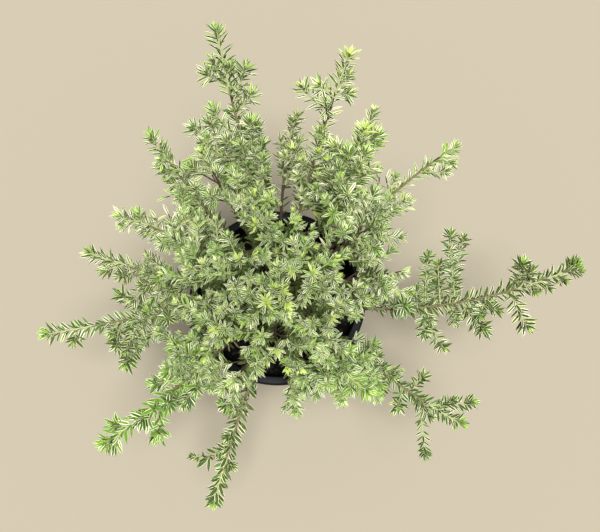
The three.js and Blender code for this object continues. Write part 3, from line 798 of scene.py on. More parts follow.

# %% Gaps in the foliage: the share of leaves that is missing, and [x, y, radius] in pixels
# The circles were read from enlarged crops of the photograph.
OPEN_GAPS = {
    1: [
        [234, 226, 8], [241, 236, 7], [283, 213, 8], [308, 218, 8], [335, 248, 7], [351, 273, 9],
        [190, 291, 4], [201, 292, 5], [203, 327, 3], [345, 326, 9], [351, 336, 4], [237, 363, 10],
        [279, 333, 9], [262, 382, 7], [280, 383, 9], [227, 210, 6], [231, 216, 5], [274, 166, 5],
        [272, 150, 6], [272, 135, 7], [384, 178, 7], [396, 222, 6], [398, 263, 10], [180, 152, 9],
        [160, 188, 8], [174, 328, 6], [186, 329, 6], [95, 315, 7], [275, 398, 11], [357, 402, 7],
        [383, 331, 10], [392, 356, 9]],
    0.9: [
        [249, 250, 6], [264, 270, 6], [306, 232, 5], [346, 242, 5], [232, 347, 7], [243, 344, 6],
        [262, 327, 6], [272, 345, 4], [276, 371, 10], [221, 204, 5], [281, 192, 5], [279, 180, 5],
        [213, 90, 9], [164, 207, 12], [205, 180, 7], [254, 413, 6], [366, 322, 7], [358, 341, 5],
        [434, 152, 9], [252, 402, 6], [212, 178, 7]],
    0.8: [
        [255, 288, 5], [226, 99, 7], [385, 268, 7], [216, 184, 5], [133, 290, 6], [149, 296, 4],
        [404, 284, 6], [323, 402, 6], [388, 246, 4]],
    0.7: [
        [292, 284, 5], [307, 312, 6], [310, 255, 5], [320, 236, 5], [178, 268, 6], [147, 404, 6],
        [423, 412, 6], [181, 163, 6], [154, 415, 7], [284, 190, 5], [286, 201, 5], [375, 164, 4]],
    0.6: [
        [328, 106, 9], [392, 314, 6], [362, 230, 6], [376, 316, 6]],
    0.5: [
        [320, 188, 4], [425, 432, 9], [207, 455, 9]],
    0.4: [
        [146, 343, 8], [432, 403, 8]],
}
GAPS = np.array([[*gap, share] for share, gaps in OPEN_GAPS.items() for gap in gaps])


def missing_share(points):
    """For each point, the share of leaves that the gaps leave out there."""
    seen = seen_at(points)
    inside = np.linalg.norm(seen[:, None] - GAPS[:, :2], axis=2) < GAPS[:, 2]
    return (inside * GAPS[:, 3]).max(1)


print("gaps:", len(GAPS))

# %% [markdown]
# ## Finer twigs
#
# A real westringia makes a short side shoot out of most leaf rings, and each of them ends
# in a rosette of young leaves. They crowd together over the pot and get rare on the long
# outer shoots. Those that stand out in the photograph are named in a table of the same
# form as above. Over the pot, many more are tried in a shuffled order, and one is kept
# only if its tip finds free room between all that grew before it. That is also how a real
# crown fills: a shoot that has no light doesn't grow on.
#
# The tips in the table were read from the photograph. Another script worked out each swing
# and length from them, for a share and a rise chosen by hand, and some of the lengths were
# then changed by hand.

# %% Side shoots that are too fine for the frame
FINER_SIDES = {
    "back_left_leader": [
        [0.78, 21, 35, 40], [0.82, -34, 17, 45], [0.56, 29, 54, 40], [0.5, 33, 60, 30],
        [0.45, 26, 55, 50], [0.4, 35, 52, 40], [0.42, 6, 57, 60], [0.36, 37, 45, 45],
        [0.34, -24, 54, 45], [0.32, -22, 37, 40], [0.55, -52, 36, 50], [0.45, -42, 44, 50],
        [0.4, -49, 29, 40], [0.42, -15, 73, 50]],
    "upper_left_high": [[0.45, -33, 57, 60], [0.5, -2, 42, 40]],
    "upper_left": [
        [0.6, -48, 20, 20], [0.4, 42, 24, 45], [0.35, 73, 24, 45], [0.5, 96, 20, 30], [0.6, 35, 22, 10],
        [0.7, 48, 14, 10], [0.7, 38, 20, 15], [0.5, 44, 24, 20]],
    "left_upper": [
        [0.45, 38, 22, 30], [0.55, 56, 18, 20], [0.36, -3, 33, 45], [0.35, 49, 20, 20],
        [0.5, 77, 17, 15], [0.4, -57, 14, 45], [0.85, 27, 18, 5], [0.36, -39, 38, 45]],
    "left": [
        [0.6, 55, 44, 0], [0.8, 36, 23, 5], [0.5, 26, 45, 20], [0.42, 50, 21, 10], [0.42, 43, 39, 5],
        [0.45, 55, 26, 5]],
    "back_pair": [[0.6, -3, 57, 45], [0.5, 8, 26, 45]],
    "back_right_leader": [
        [0.85, -24, 17, 20], [0.45, 103, 20, 50], [0.5, 91, 18, 45], [0.36, -34, 31, 50],
        [0.34, -14, 50, 40], [0.32, -42, 26, 50]],
    "upper_right": [
        [0.5, -21, 40, 40], [0.45, 44, 50, 60], [0.6, 26, 45, 65], [0.4, 71, 26, 50],
        [0.6, -13, 47, 55], [0.42, 22, 64, 60], [0.33, 47, 18, 45], [0.5, 52, 49, 50],
        [0.45, -29, 32, 20]],
    "right_upper_wand": [
        [0.5, 41, 22, 30], [0.4, 51, 20, 40], [0.45, 3, 17, 20], [0.35, 29, 29, 30],
        [0.33, -147, 21, 30]],
    "right_mid": [
        [0.7, -78, 17, 20], [0.6, -64, 25, 10], [0.5, -67, 28, 30], [0.5, -44, 22, 10],
        [0.5, -29, 40, 10]],
    "right_low": [[0.6, -28, 36, 15], [0.7, -67, 18, 0], [0.6, -58, 14, 30]],
    "right_wand": [
        [0.88, -70, 13, 10], [0.93, -60, 12, 10], [0.6, 98, 90, 45], [0.7, -124, 26, 10],
        [0.5, -81, 20, 10], [0.57, -75, 24, 5], [0.55, 94, 50, 35], [0.52, 77, 28, 20],
        [0.58, -69, 17, 5], [0.66, -37, 29, 5], [0.84, -71, 12, 0], [0.5, 121, 24, 20],
        [0.36, 112, 23, 30], [0.5, -99, 30, 5], [0.64, -77, 34, 5], [0.95, 21, 20, 10],
        [0.96, -24, 17, 5], [0.5, -99, 34, 5]],
    "front_right": [
        [0.6, -76, 26, 30], [0.7, -72, 18, 20], [0.5, -53, 35, 30], [0.55, -50, 33, 30],
        [0.8, -52, 14, 10], [0.6, -47, 27, 5], [0.35, 46, 54, 20], [0.5, -50, 36, 5]],
    "front_short": [[0.5, -3, 36, 20]],
    "front_low": [[0.75, -13, 34, 20], [0.7, -20, 32, 20]],
    "front_wand": [[0.6, -20, 17, 10], [0.75, 45, 14, 10], [0.35, 39, 16, 25]],
    "front_left": [
        [0.4, 58, 37, 35], [0.45, 42, 27, 20], [0.36, -48, 24, 30], [0.42, -76, 28, 30],
        [0.4, -25, 49, 20], [0.42, 23, 44, 10], [0.68, 54, 35, 15], [0.34, -62, 33, 30],
        [0.5, -29, 41, 20], [0.4, -68, 42, 20], [0.45, 24, 42, 5], [0.9, 24, 18, 5]],
    "far_left": [
        [0.35, 83, 30, 20], [0.66, 63, 20, 10], [0.62, 78, 40, 20], [0.5, -24, 16, 10],
        [0.45, -35, 16, 15], [0.44, 48, 31, 10], [0.32, 74, 20, 40], [0.56, 12, 15, 8],
        [0.55, 60, 58, 12], [0.68, 53, 16, 5], [0.36, -32, 26, 30]],
    "lower_right": [
        [0.42, 48, 18, 20], [0.4, 77, 19, 25], [0.45, 16, 20, 20], [0.5, 10, 20, 20],
        [0.55, -78, 22, 10], [0.85, 64, 20, 10], [0.7, -15, 21, 10]],
    "crown_back": [[0.35, 119, 50, 78], [0.45, 16, 28, 70]],
    "crown_back_left": [[0.5, -42, 66, 45]],
    "crown_centre": [[0.5, 88, 70, 80]],
    "crown_right": [[0.5, 112, 54, 80], [0.4, 70, 74, 50]],
    "crown_left": [[0.4, 103, 64, 75], [0.35, -17, 60, 30]],
    "crown_low_left": [[0.4, 54, 66, 30], [0.36, 29, 57, 20]],
    "crown_front_left": [[0.5, -8, 54, 40], [0.45, -4, 59, 60]],
}
for shoot in shoots:
    sides = FINER_SIDES.get(shoot["name"], [])
    shoot["finer"] = [side_twig(shoot["bough"], shoot["stem"], *side) for side in sides]
print("finer twigs by name:", sum(len(shoot["finer"]) for shoot in shoots))

# %% Fill the room over the pot with short twigs
# They get rarer from the full reach to the last one, which are distances from the axis.
FINE_BOUGH_FROM = 0.4
FINE_STEP = 7
FINE_FIRST = 0.2
FINE_SHIFT = 0.6
FINE_LAST = 0.88
FINE_LENGTHS = (24, 46)
FINE_TAPER = 0.25
FINE_ANGLE = 46
FINE_ANGLE_RANGE = 12
FINE_LIFT = 0.3
FINE_SPLAY = 0.6
FINE_FULL_REACH = 80
FINE_LAST_REACH = 140
FINE_LIMB_ROOM = 4.5
FINE_TIP_ROOM = 12.6
FINE_MOST_MISSING = 0.5
OUTER_SPOTS = np.array([0.6, 0.8, 1])


def wanted_fine_twigs(shoot, rng):
    """Finer twigs that could leave a shoot's limbs, each with its shoot."""
    for carrier in [stretch(shoot["bough"], FINE_BOUGH_FROM, 1), shoot["stem"],
                    *shoot["twigs"], *shoot["finer"]]:
        count = int(length_of(carrier) / FINE_STEP)
        for i in range(count):
            share = (i + FINE_FIRST + FINE_SHIFT * rng.random()) / count * FINE_LAST
            root = point_on(carrier, share)
            outside = FINE_LAST_REACH - math.hypot(root[0], root[1])
            along, across, other = frame_on(carrier, share)
            out = outwards(across, other, np.array(i * GOLDEN_ANGLE + FILL_TURN * rng.random()))
            angle = math.radians(FINE_ANGLE + FINE_ANGLE_RANGE * (rng.random() - 0.5))
            splay = np.array([root[0], root[1], 0]) / FINE_LAST_REACH
            direction = unit(along * math.cos(angle) + out * math.sin(angle) + UP * FINE_LIFT
                             + FINE_SPLAY * splay)
            length = lerp(*FINE_LENGTHS, rng.random()) * (1 - FINE_TAPER * share)
            if rng.random() < outside / (FINE_LAST_REACH - FINE_FULL_REACH):
                yield shoot, twig_from(root, direction, length)


def has_room(twig, wood, tips):
    """Whether a twig stays inside the frame and clear of all that grew before it."""
    inside = np.all(twig[2] > cad_low / MM) and np.all(twig[2] < cad_high / MM)
    clear = room_to(wood, point_on(twig, OUTER_SPOTS)) > FINE_LIMB_ROOM
    lit = np.linalg.norm(np.array(tips) - twig[2], axis=1).min() > FINE_TIP_ROOM
    return inside and clear and lit and missing_share(twig[1:]).max() < FINE_MOST_MISSING


rng = np.random.default_rng(5)
wanted = [each for shoot in shoots for each in wanted_fine_twigs(shoot, rng)]
wood = wood_of(shoots)
tips = [twig[2] for shoot in shoots for twig in [shoot["stem"], *shoot["twigs"], *shoot["finer"]]]
for shoot in shoots:
    shoot["fine"] = []
for i in rng.permutation(len(wanted)):
    shoot, twig = wanted[i]
    if has_room(twig, wood, tips):
        shoot["fine"].append(twig)
        wood = np.concatenate([wood, chain(twig, TWIG_RUNS)])
        tips.append(twig[2])
print("short twigs:", sum(len(shoot["fine"]) for shoot in shoots), "of", len(wanted), "tried")

# %% [markdown]
# ## Bark
#
# The trunk and boughs of a young westringia carry thin bark that splits into fine long
# fissures, brown-grey on the trunk and tan where it is younger, though the boughs' bark is
# drawn a dark brown as painted shade of the crown over them. The relief is modelled:
# every ring of the tube is pushed in and out by noise that is stretched along the limb,
# the way the bark's own cells grow. A noise of about a millimetre in the finish darkens
# the fissures and roughens the plates between them.

# %% Limbs as tubes with relief
RELIEF_STRETCH = 5
ROUNDED_END = 0.6


def relief_on(rolls, distances, radius, grain, seed):
    """Noise from -1 to 1 round and along a limb, stretched along it as bark is."""
    around = [(radius / grain * math.cos(roll), radius / grain * math.sin(roll)) for roll in rolls]
    along = [distance / (RELIEF_STRETCH * grain) + seed for distance in distances]
    return np.array([[noise.noise(Vector((x, y, z))) for x, y in around] for z in along])


def tube(curve, radius_at, sides, ring_step, grain=0, depth=0, seed=0):
    """A limb along a curve, with a rounded end. Grain and depth give its bark's relief."""
    length = length_of(curve)
    rings = max(3, int(length / ring_step))
    shares = np.linspace(0, 1, rings + 1)
    rolls = np.arange(sides) * 2 * math.pi / sides
    _, across, other = frame_on(curve, shares)
    out = across[:, None] * np.cos(rolls)[:, None] + other[:, None] * np.sin(rolls)[:, None]
    radii = np.repeat(radius_at(shares)[:, None], sides, axis=1)
    if depth:
        relief = relief_on(rolls, shares * length, radii.mean(), grain, seed)
        radii = radii + depth * (relief - np.abs(relief))
    radii[-1] *= ROUNDED_END
    points = (point_on(curve, shares)[:, None] + out * radii[..., None]).reshape(-1, 3)
    tip = point_on(curve, 1) + along_at(curve, 1) * radii[-1, 0]
    last = rings * sides + np.arange(sides)
    following = rings * sides + (np.arange(sides) + 1) % sides
    cap = np.stack([last, following, np.full(sides, len(points))], 1)
    faces = np.concatenate([grid_faces(rings + 1, sides, True), cap])
    return np.concatenate([points, tip[None]]), faces


def tapering(start, end):
    """The radius of a limb that tapers evenly, at shares of its way."""
    return lambda share: lerp(start, end, share)


points, faces = tube(TRUNK, tapering(TRUNK_FOOT_RADIUS, TRUNK_TOP_RADIUS), sides=6, ring_step=20)
print("a plain trunk of 6 sides has", len(faces), "triangles")

# %% Thin bark, and the trunk and boughs that carry it
# The trunk's foot reaches a little way into the mix.
TRUNK_BURIED = 0.03


def bark(name, light, dark, grain_mm):
    """Thin bark: long fissures darker than the plates between them, dry and matt."""
    finish, tree = new_finish(name)
    spot = add_node(tree, "ShaderNodeTexCoord").outputs["Object"]
    stretched = add_node(tree, "ShaderNodeMapping", {"Vector": spot, "Scale": (1, 1, 0.3)})
    plates = add_node(tree, "ShaderNodeTexNoise", {
        "Vector": stretched.outputs["Vector"], "Scale": per_metre(grain_mm),
        "Detail": 5.0, "Roughness": 0.65})
    colour = add_node(tree, "ShaderNodeValToRGB", {"Fac": plates.outputs["Fac"]},
                      stops=[(0.36, dark), (0.52, light)])
    bump = add_node(tree, "ShaderNodeBump", {
        "Height": plates.outputs["Fac"], "Strength": 0.6, "Distance": 0.4 * MM})
    shader = add_node(tree, "ShaderNodeBsdfPrincipled", {
        "Base Color": colour.outputs["Color"], "Roughness": 0.85, "Specular IOR Level": 0.15,
        "Normal": bump.outputs["Normal"]})
    add_node(tree, "ShaderNodeOutputMaterial", {"Surface": shader.outputs["BSDF"]})
    return finish


def trunk_radius(share):
    """The trunk's radius at shares of its height, with the flare of its root."""
    flare = TRUNK_FLARE * np.exp(-share / FLARE_SPREAD)
    return lerp(TRUNK_FOOT_RADIUS, TRUNK_TOP_RADIUS, share) + flare


bundle = Bundle()
bundle.add(*tube(stretch(TRUNK, -TRUNK_BURIED, 1), trunk_radius,
                 sides=56, ring_step=1, grain=1.6, depth=0.7))
bundle.piece("trunk_bark", [bark("young grey-brown bark", "#8b7a62", "#40352a", 1.4)], "bark", ["trunk"])

bundle = Bundle()
for index, shoot in enumerate(shoots):
    bundle.add(*tube(shoot["bough"], tapering(BOUGH_ROOT_RADIUS, BOUGH_TIP_RADIUS),
                     sides=14, ring_step=1.6, grain=1.0, depth=0.28, seed=index))
# The boughs' bark is a darker brown than the trunk's, as painted shade of the crown.
boughs = bundle.piece("bough_bark", [bark("thin bark, darkened as painted shade", "#4e4232", "#271e16", 1.1)], "green_stem",
                      ["bough_" + shoot["name"] for shoot in shoots])
print("boughs:", len(boughs.data.polygons), "triangles")

# %% [markdown]
# ## Limbs and their tips
#
# Every shoot turns its last centimetre up to the light, so that seen from above even the
# flat outer shoots end in a star of leaves. A limb is therefore two curves: its run, and a
# short tip that starts along the run and ends nearly upright. Both are worked out here
# once, and the wood and the leaves below are grown on them.
#
# A limb also carries the traits that its leaves follow, because no two shoots of a real
# plant are quite alike. Lengths are in millimetres and angles in degrees:
#
# - size is the length of a full leaf, and width its width as a share of that
# - step is the distance from one ring of leaves to the next
# - angle is how far a full leaf stands off its stem, and opens how far from the tip that is
# - lift is how steeply the limb's tip turns up
# - bare is the length of wood at the limb's root that has no leaves, and base is the share
#   of their size that the leaves next to it have
# - rim is the least and the most share of the blades that is cream, drawn limb by limb
# - young is the length of tip that is yellow-green, and flush the share of limbs that have it
# - bright is 1 where young leaves are a clear green, and 0 where they are lime
# - finer is the share of their size that leaves on the finer side shoots have
# - most is the share of missing leaves above which a whole limb is left out

# %% The traits of every shoot
SHARED_TRAITS = {"angle": 50, "young": 6, "flush": 0.22, "bare": 3, "base": 0.8, "finer": 0.94}
CROWN_TRAITS = {"size": 11.9, "width": 0.15, "step": 3.6, "lift": 0.4, "opens": 8,
                "rim": (0.22, 0.38), "bright": 0}
OUTER_TRAITS = {"size": 13.2, "width": 0.18, "step": 4.6, "lift": 1.1, "opens": 6.5,
                "rim": (0.26, 0.42), "bright": 1}
SHOOT_TRAITS = {
    "right_wand": {"size": 14.5, "width": 0.24, "step": 5.5, "angle": 60, "rim": (0.12, 0.24),
                   "finer": 0.78},
    "lower_right": {"size": 12.5, "width": 0.23, "step": 5.5, "angle": 56, "rim": (0.12, 0.24)},
    "front_wand": {"size": 13.5, "width": 0.3, "step": 6, "angle": 56, "rim": (0.14, 0.24)},
    "far_left": {"size": 14, "width": 0.23, "step": 5.5, "angle": 58, "rim": (0.14, 0.26)},
    "front_left": {"size": 16, "width": 0.22, "step": 8, "angle": 48, "rim": (0.18, 0.3)},
    "back_left_leader": {"size": 14.6, "step": 5.2, "angle": 54, "rim": (0.2, 0.34)},
    "back_right_leader": {"size": 14.5, "step": 7, "angle": 56, "rim": (0.3, 0.42), "young": 10,
                          "bright": 0},
    "back_pair": {"size": 11.5, "width": 0.17, "step": 6, "angle": 60, "rim": (0.18, 0.3), "young": 3},
    "front_right": {"size": 15, "width": 0.19, "step": 5.5, "rim": (0.2, 0.34)},
    "left": {"size": 13.6, "step": 5.2, "rim": (0.18, 0.32)},
    "upper_right": {"size": 15, "angle": 46, "young": 11, "bright": 0},
    "right_upper_wand": {"size": 12, "step": 5.5, "rim": (0.26, 0.4)},
    "upper_left": {"angle": 48},
    "crown_centre": {"size": 12.8, "young": 11},
}
# Side shoots with smaller leaves than their shoot's: (shoot, number) and the share of the size.
SMALL_SIDES = {
    ("front_wand", 1): 0.5, ("lower_right", 3): 0.8, ("far_left", 0): 0.8,
    ("right_wand", 0): 0.8, ("right_wand", 1): 0.75, ("right_wand", 2): 0.75,
}
print("traits: set apart for", len(SHOOT_TRAITS), "of", len(shoots), "shoots")

# %% Limbs with tips that turn up
TIP_BACK = 10
TIP_ALONG = 4
TIP_LENGTH = 9
STEM_RADII = (1.7, 1.05, 0.8)
TWIG_RADII = (0.9, 0.65)
FINE_RADII = (0.7, 0.55)
TWIG_YOUNG = 0.6


def limb_of(curve, radii, traits, **own):
    """A limb with a turned-up tip, and the traits that its leaves follow."""
    limb = {**traits, **own, "radii": radii}
    run = stretch(curve, 0, 1 - TIP_BACK / length_of(curve))
    along = along_at(run, 1)
    bend = run[2] + along * TIP_ALONG
    tip = np.array([run[2], bend, bend + unit(along + UP * limb["lift"]) * (TIP_LENGTH - TIP_ALONG)])
    return {"run": run, "tip": tip, **limb}


def is_open(limb):
    """Whether a limb is missing, as the gaps leave out too much of its outer half."""
    return missing_share(point_on(limb["run"], np.linspace(0.5, 1, 6))).mean() > limb["most"]


def limbs_of(shoot):
    """All leafy limbs of a shoot: its stem and every twig that no gap leaves out."""
    crown = shoot["name"].startswith("crown")
    traits = {**SHARED_TRAITS, **(CROWN_TRAITS if crown else OUTER_TRAITS),
              **SHOOT_TRAITS.get(shoot["name"], {})}
    size, young = traits["size"], traits["young"] * TWIG_YOUNG
    found = [limb_of(shoot["stem"], STEM_RADII, traits, bare=1, base=0.9, flush=1, most=1)]
    for i, twig in enumerate(shoot["twigs"]):
        small = SMALL_SIDES.get((shoot["name"], i), 1)
        found.append(limb_of(twig, TWIG_RADII, traits, size=size * small, young=young, most=0.6))
    for twig in shoot["finer"]:
        found.append(limb_of(twig, TWIG_RADII, traits, size=size * traits["finer"], young=young,
                             most=0.25))
    for twig in shoot["fine"]:
        found.append(limb_of(twig, FINE_RADII, traits, size=CROWN_TRAITS["size"] * SHARED_TRAITS["finer"],
                             step=CROWN_TRAITS["step"], width=0.16, young=young, flush=0.12, most=0.1))
    return [limb for limb in found if not is_open(limb)]


for shoot in shoots:
    shoot["limbs"] = limbs_of(shoot)
print("limbs:", sum(len(shoot["limbs"]) for shoot in shoots))

# %% [markdown]
# ## Green wood
#
# The wood of the last two years has no bark yet. It is slender green wood, pale with a felt
# of fine hairs on the twigs and the outer quarter of each stem, and tan nearer the bough. A
# felt that fine only shows as a matt, light colour, so the tubes are plain, with the older
# and the younger wood as two plain colours. A third, a dark brown, is painted shade on twigs
# that have lost their leaves where a gap is, as they stand in the shade there.

# %% Green wood
TWIG_FINISHES = [
    plain_finish("green wood, older and tan", "#71684a", 0.8),
    plain_finish("green wood, downy and pale", "#a3ad74", 0.8),
    # Painted shade: twigs in the gaps are darkened to this brown.
    plain_finish("bare twig, darkened as painted shade", "#3d3226", 0.9),
]
TAN, PALE, SHADED_BARE = range(len(TWIG_FINISHES))
TAN_SHARE = 0.75
BARE_ABOVE = 0.5
STEM_SIDES, STEM_RING_STEP = 8, 4
TWIG_SIDES, TWIG_RING_STEP = 5, 5
TIP_RING_STEP = 2.5
TIP_TAPER = 0.7


def add_wood(bundle, curve, radii, sides, step, finish):
    """Adds a tube of wood, painted a dark brown as shade where the gaps leave out its leaves."""
    points, faces = tube(curve, tapering(*radii), sides, step)
    missing = missing_share(points[faces].mean(1))
    bundle.add(points, faces, np.where(missing > BARE_ABOVE, SHADED_BARE, finish))


bundle = Bundle()
for shoot in shoots:
    stem, *sides = shoot["limbs"]
    start, middle, end = STEM_RADII
    add_wood(bundle, stretch(stem["run"], 0, TAN_SHARE), (start, middle), STEM_SIDES, STEM_RING_STEP, TAN)
    add_wood(bundle, stretch(stem["run"], TAN_SHARE, 1), (middle, end), STEM_SIDES, STEM_RING_STEP, PALE)
    add_wood(bundle, stem["tip"], (end, end * TIP_TAPER), STEM_SIDES, TIP_RING_STEP, PALE)
    for limb in sides:
        start, end = limb["radii"]
        add_wood(bundle, limb["run"], (start, end), TWIG_SIDES, TWIG_RING_STEP, PALE)
        add_wood(bundle, limb["tip"], (end, end * TIP_TAPER), TWIG_SIDES, TIP_RING_STEP, PALE)
twigs = bundle.piece("twigs", TWIG_FINISHES, "green_stem")
print("twigs:", len(twigs.data.polygons), "triangles")

# %% [markdown]
# ## Leaves
#
# A leaf is a narrow blade, about 11 to 16 mm long and 2 to 4 mm wide, slightly folded along
# its midrib and curved back at its tip. Its cream edges are the variegation, and they are
# wider on some leaves than on others. The underside is pale with felt, and its colour is
# darkened to a dull olive as painted shade. All this has a place on the leaf, so the blade
# is modelled as strips, two green ones and two cream ones on top and a sheet below, and
# each strip takes a plain colour. No pattern is painted on.
#
# Leaves stand in rings of four, each ring turned by an eighth from the one before. The
# rings are 4 to 8 mm apart and crowd into a rosette at every tip, where the youngest
# leaves are short, steep and yellow-green.

# %% One leaf as strips
ROWS = np.array([0.25, 0.68])
TOP_COLUMNS = 5
UNDER_COLUMNS = 3
TOP_POINTS = 2 + len(ROWS) * TOP_COLUMNS
LEAF_POINTS = TOP_POINTS + 2 + len(ROWS) * UNDER_COLUMNS
LEAF_THICKNESS = 0.35
BELLY_SHIFT = 0.95
BLUNTNESS = 0.5
CENTRE, MARGIN, UNDERSIDE = 0, 1, 2


def leaf_outline(share):
    """Half the leaf's width at shares of its length, as a share of its greatest half."""
    return np.sin(math.pi * share ** BELLY_SHIFT) ** BLUNTNESS


def sheet_faces(columns, first, flip):
    """Triangles of one side of a leaf: two end points and rows of columns between them."""
    rows = len(ROWS)
    body = first + 2
    faces = list(grid_faces(rows, columns, False) + body)
    for c in range(columns - 1):
        faces.append([first, body + c + 1, body + c])
        end = body + (rows - 1) * columns + c
        faces.append([first + 1, end, end + 1])
    faces = np.array(faces)
    return faces[:, ::-1] if flip else faces


def leaf_faces():
    """All triangles of a leaf, and for each of them the part of the leaf that it is in."""
    top = sheet_faces(TOP_COLUMNS, 0, False)
    under = sheet_faces(UNDER_COLUMNS, TOP_POINTS, True)
    columns = np.where(top < 2, -1, (top - 2) % TOP_COLUMNS)
    outer = (columns.max(1) == TOP_COLUMNS - 1) | np.any(columns == 0, axis=1)
    part = np.concatenate([np.where(outer, MARGIN, CENTRE), np.full(len(under), UNDERSIDE)])
    return np.concatenate([top, under]), part


LEAF_FACES, LEAF_PARTS = leaf_faces()
print("leaf:", LEAF_POINTS, "points,", len(LEAF_FACES), "triangles")

# %% Many leaves at once
LEAF_TRAITS = ("length", "width", "curl", "fold", "rim")
CURL_SHORTENS = 0.2


def leaf_sheet(leaves, columns, sunk):
    """Points of one side of every leaf. The underside is sunk by the leaf's thickness."""
    length, width, curl, fold, rim = (leaves[trait][:, None] for trait in LEAF_TRAITS)
    share = np.concatenate([[0, 1], np.repeat(ROWS, columns)])
    side = np.concatenate([[0, 0], np.tile(np.arange(columns) - columns // 2, len(ROWS))])
    inner = np.abs(side) == 1 if columns == TOP_COLUMNS else np.zeros(len(side), bool)
    spread = np.sign(side) * np.where(inner, 1 - rim, 1.0) * (side != 0)
    half = width / 2 * leaf_outline(share)
    rise = fold * half * np.abs(spread) - curl * length * share ** 2
    rise = rise - sunk * LEAF_THICKNESS * (side == 0) * np.sin(math.pi * share)
    forward = length * share * (1 - CURL_SHORTENS * np.abs(curl))
    normal = np.cross(leaves["direction"], leaves["across"])[:, None]
    return (forward[..., None] * leaves["direction"][:, None]
            + (half * spread)[..., None] * leaves["across"][:, None] + rise[..., None] * normal)


def leaf_points(leaves):
    """Points of every leaf in a table of them: (leaves, points, 3), in millimetres."""
    both = [leaf_sheet(leaves, TOP_COLUMNS, 0), leaf_sheet(leaves, UNDER_COLUMNS, 1)]
    return leaves["root"][:, None] + np.concatenate(both, axis=1)


sample = {trait: np.array([value]) for trait, value in zip(LEAF_TRAITS, (14, 3, 0.1, 0.2, 0.3))}
sample.update(root=np.zeros((1, 3)), direction=np.array([[1.0, 0, 0]]), across=np.array([[0, 1.0, 0]]))
print("a leaf of 14 mm by 3 mm spans", np.ptp(leaf_points(sample)[0], axis=0).round(1), "mm")

# %% [markdown]
# How a leaf stands depends on its place. Towards the tip of its limb it is shorter and
# steeper, and every leaf turns its face to the light a little. Deep in the crown leaves are
# old and dull, and a few have withered. Their dull colours are painted shade as well as age:
# they darken leaves back from the tips, low in the crown and near the pot's axis, and low in
# the middle even at a tip. The measures below say where each of that begins, as a distance
# back from the tip, a height above the ground or a reach from the pot's axis, and over how
# many millimetres it grows to its full effect.

# %% Where light ends, and painted shade and age begin
RING_LEAVES = 4
RING_TURN = 45
RING_SCATTER = 0.25
STEP_RANGE = (0.85, 1.15)
ROLL_SCATTER = 8
ANGLE_SCATTER = 7
FACE_SCATTER = 0.14
RIM_SCATTER = 0.12
LENGTH_RANGE = (0.84, 1.12)
WIDTH_RANGE = (0.88, 1.1)
WIDTH_AT_LEAST = 0.3
CURL_RANGE = (0, 0.16)
FOLD_RANGE = (-0.1, 0.4)
TIP_RINGS = np.array([0.2, 1.7, 3.7, 6.2, 9.4])
TIP_ANGLE = 14
TIP_SIZE = 0.5
LEAF_FACES_UP = 0.55
LEVEL_FACES_UP = 0.25
ROOT_LEAVES_OVER = 22
NOT_IN_FLUSH = 0.15
LEAST_RIM, MOST_RIM = 0.08, 0.8
OLD_FROM = 9
OLD_OVER = 15
OLD_WITHIN = 112
OLD_FADE = 45
SHADE_BELOW = 325
SHADE_OVER = 60
BURIED_BELOW = 265
BURIED_WITHIN = 95
BURIED_OVER = 25
KEPT_BURIED = 0.6
WITHERED_BELOW = 255
WITHERED_WITHIN = 75
WITHERED_INSIDE, WITHERED_ON_BOUGHS = 0.3, 0.5


def smooth(share):
    """A share from 0 to 1 that starts and ends gently."""
    share = np.clip(share, 0, 1)
    return share * share * (3 - 2 * share)


def shade_and_age_at(spot, from_tip):
    """How much painted shade and age leaves get, from 0 to 1, how deeply buried in shade they are, and which
    are well inside.
    """
    reach, height = np.hypot(spot[:, 0], spot[:, 1]), spot[:, 2]
    shaded = np.clip((OLD_WITHIN - reach) / OLD_FADE, 0, 1)
    deep = np.clip((SHADE_BELOW - height) / SHADE_OVER, 0, 1)
    low = np.clip((BURIED_BELOW - height) / BURIED_OVER, 0, 1)
    buried_shade = low * np.clip((BURIED_WITHIN - reach) / BURIED_OVER, 0, 1)
    # Painted shade and age: dull colours go to leaves back from the tip and low in the crown, within the
    # shaded reach, and buried ones low near the axis are darkened fully.
    old = np.maximum(smooth((from_tip - OLD_FROM) / OLD_OVER), deep * (from_tip > TIP_LENGTH)) * shaded
    inside = (height < WITHERED_BELOW) & (reach < WITHERED_WITHIN)
    return np.maximum(old, buried_shade), buried_shade, inside


lip_edge = np.array([[POT_LIP_RADIUS, 0, POT_HEIGHT + 100]])
print("leaves 10 cm over the lip's edge are old by", shade_and_age_at(lip_edge, np.array([50.0]))[0].round(2))

# %% Where the leaves stand on a limb
def spots_on(limb, from_tip):
    """Points and directions of a limb at distances back from the end of its tip."""
    tip_length, run_length = length_of(limb["tip"]), length_of(limb["run"])
    on_tip = (from_tip < tip_length)[:, None]
    tip_share = np.clip(1 - from_tip / tip_length, 0, 1)
    run_share = np.clip(1 - (from_tip - tip_length) / run_length, 0, 1)
    tip_frame = [point_on(limb["tip"], tip_share), *frame_on(limb["tip"], tip_share)]
    run_frame = [point_on(limb["run"], run_share), *frame_on(limb["run"], run_share)]
    return [np.where(on_tip, a, b) for a, b in zip(tip_frame, run_frame)]


def dead_limb(bough):
    """The outer part of a bough, as a limb with old or withered leaves. Kept is the share of
    them that still hangs on."""
    return {"run": stretch(bough, 0.35, 0.9), "tip": stretch(bough, 0.9, 1), "radii": (BOUGH_TIP_RADIUS,),
            "size": 11, "width": 0.18, "step": 5.5, "angle": 80, "opens": 8, "bare": 0, "base": 1,
            "rim": (0.3, 0.4), "young": 1, "flush": 0, "bright": 0, "kept": 0.75, "curl": (0, 0.5)}


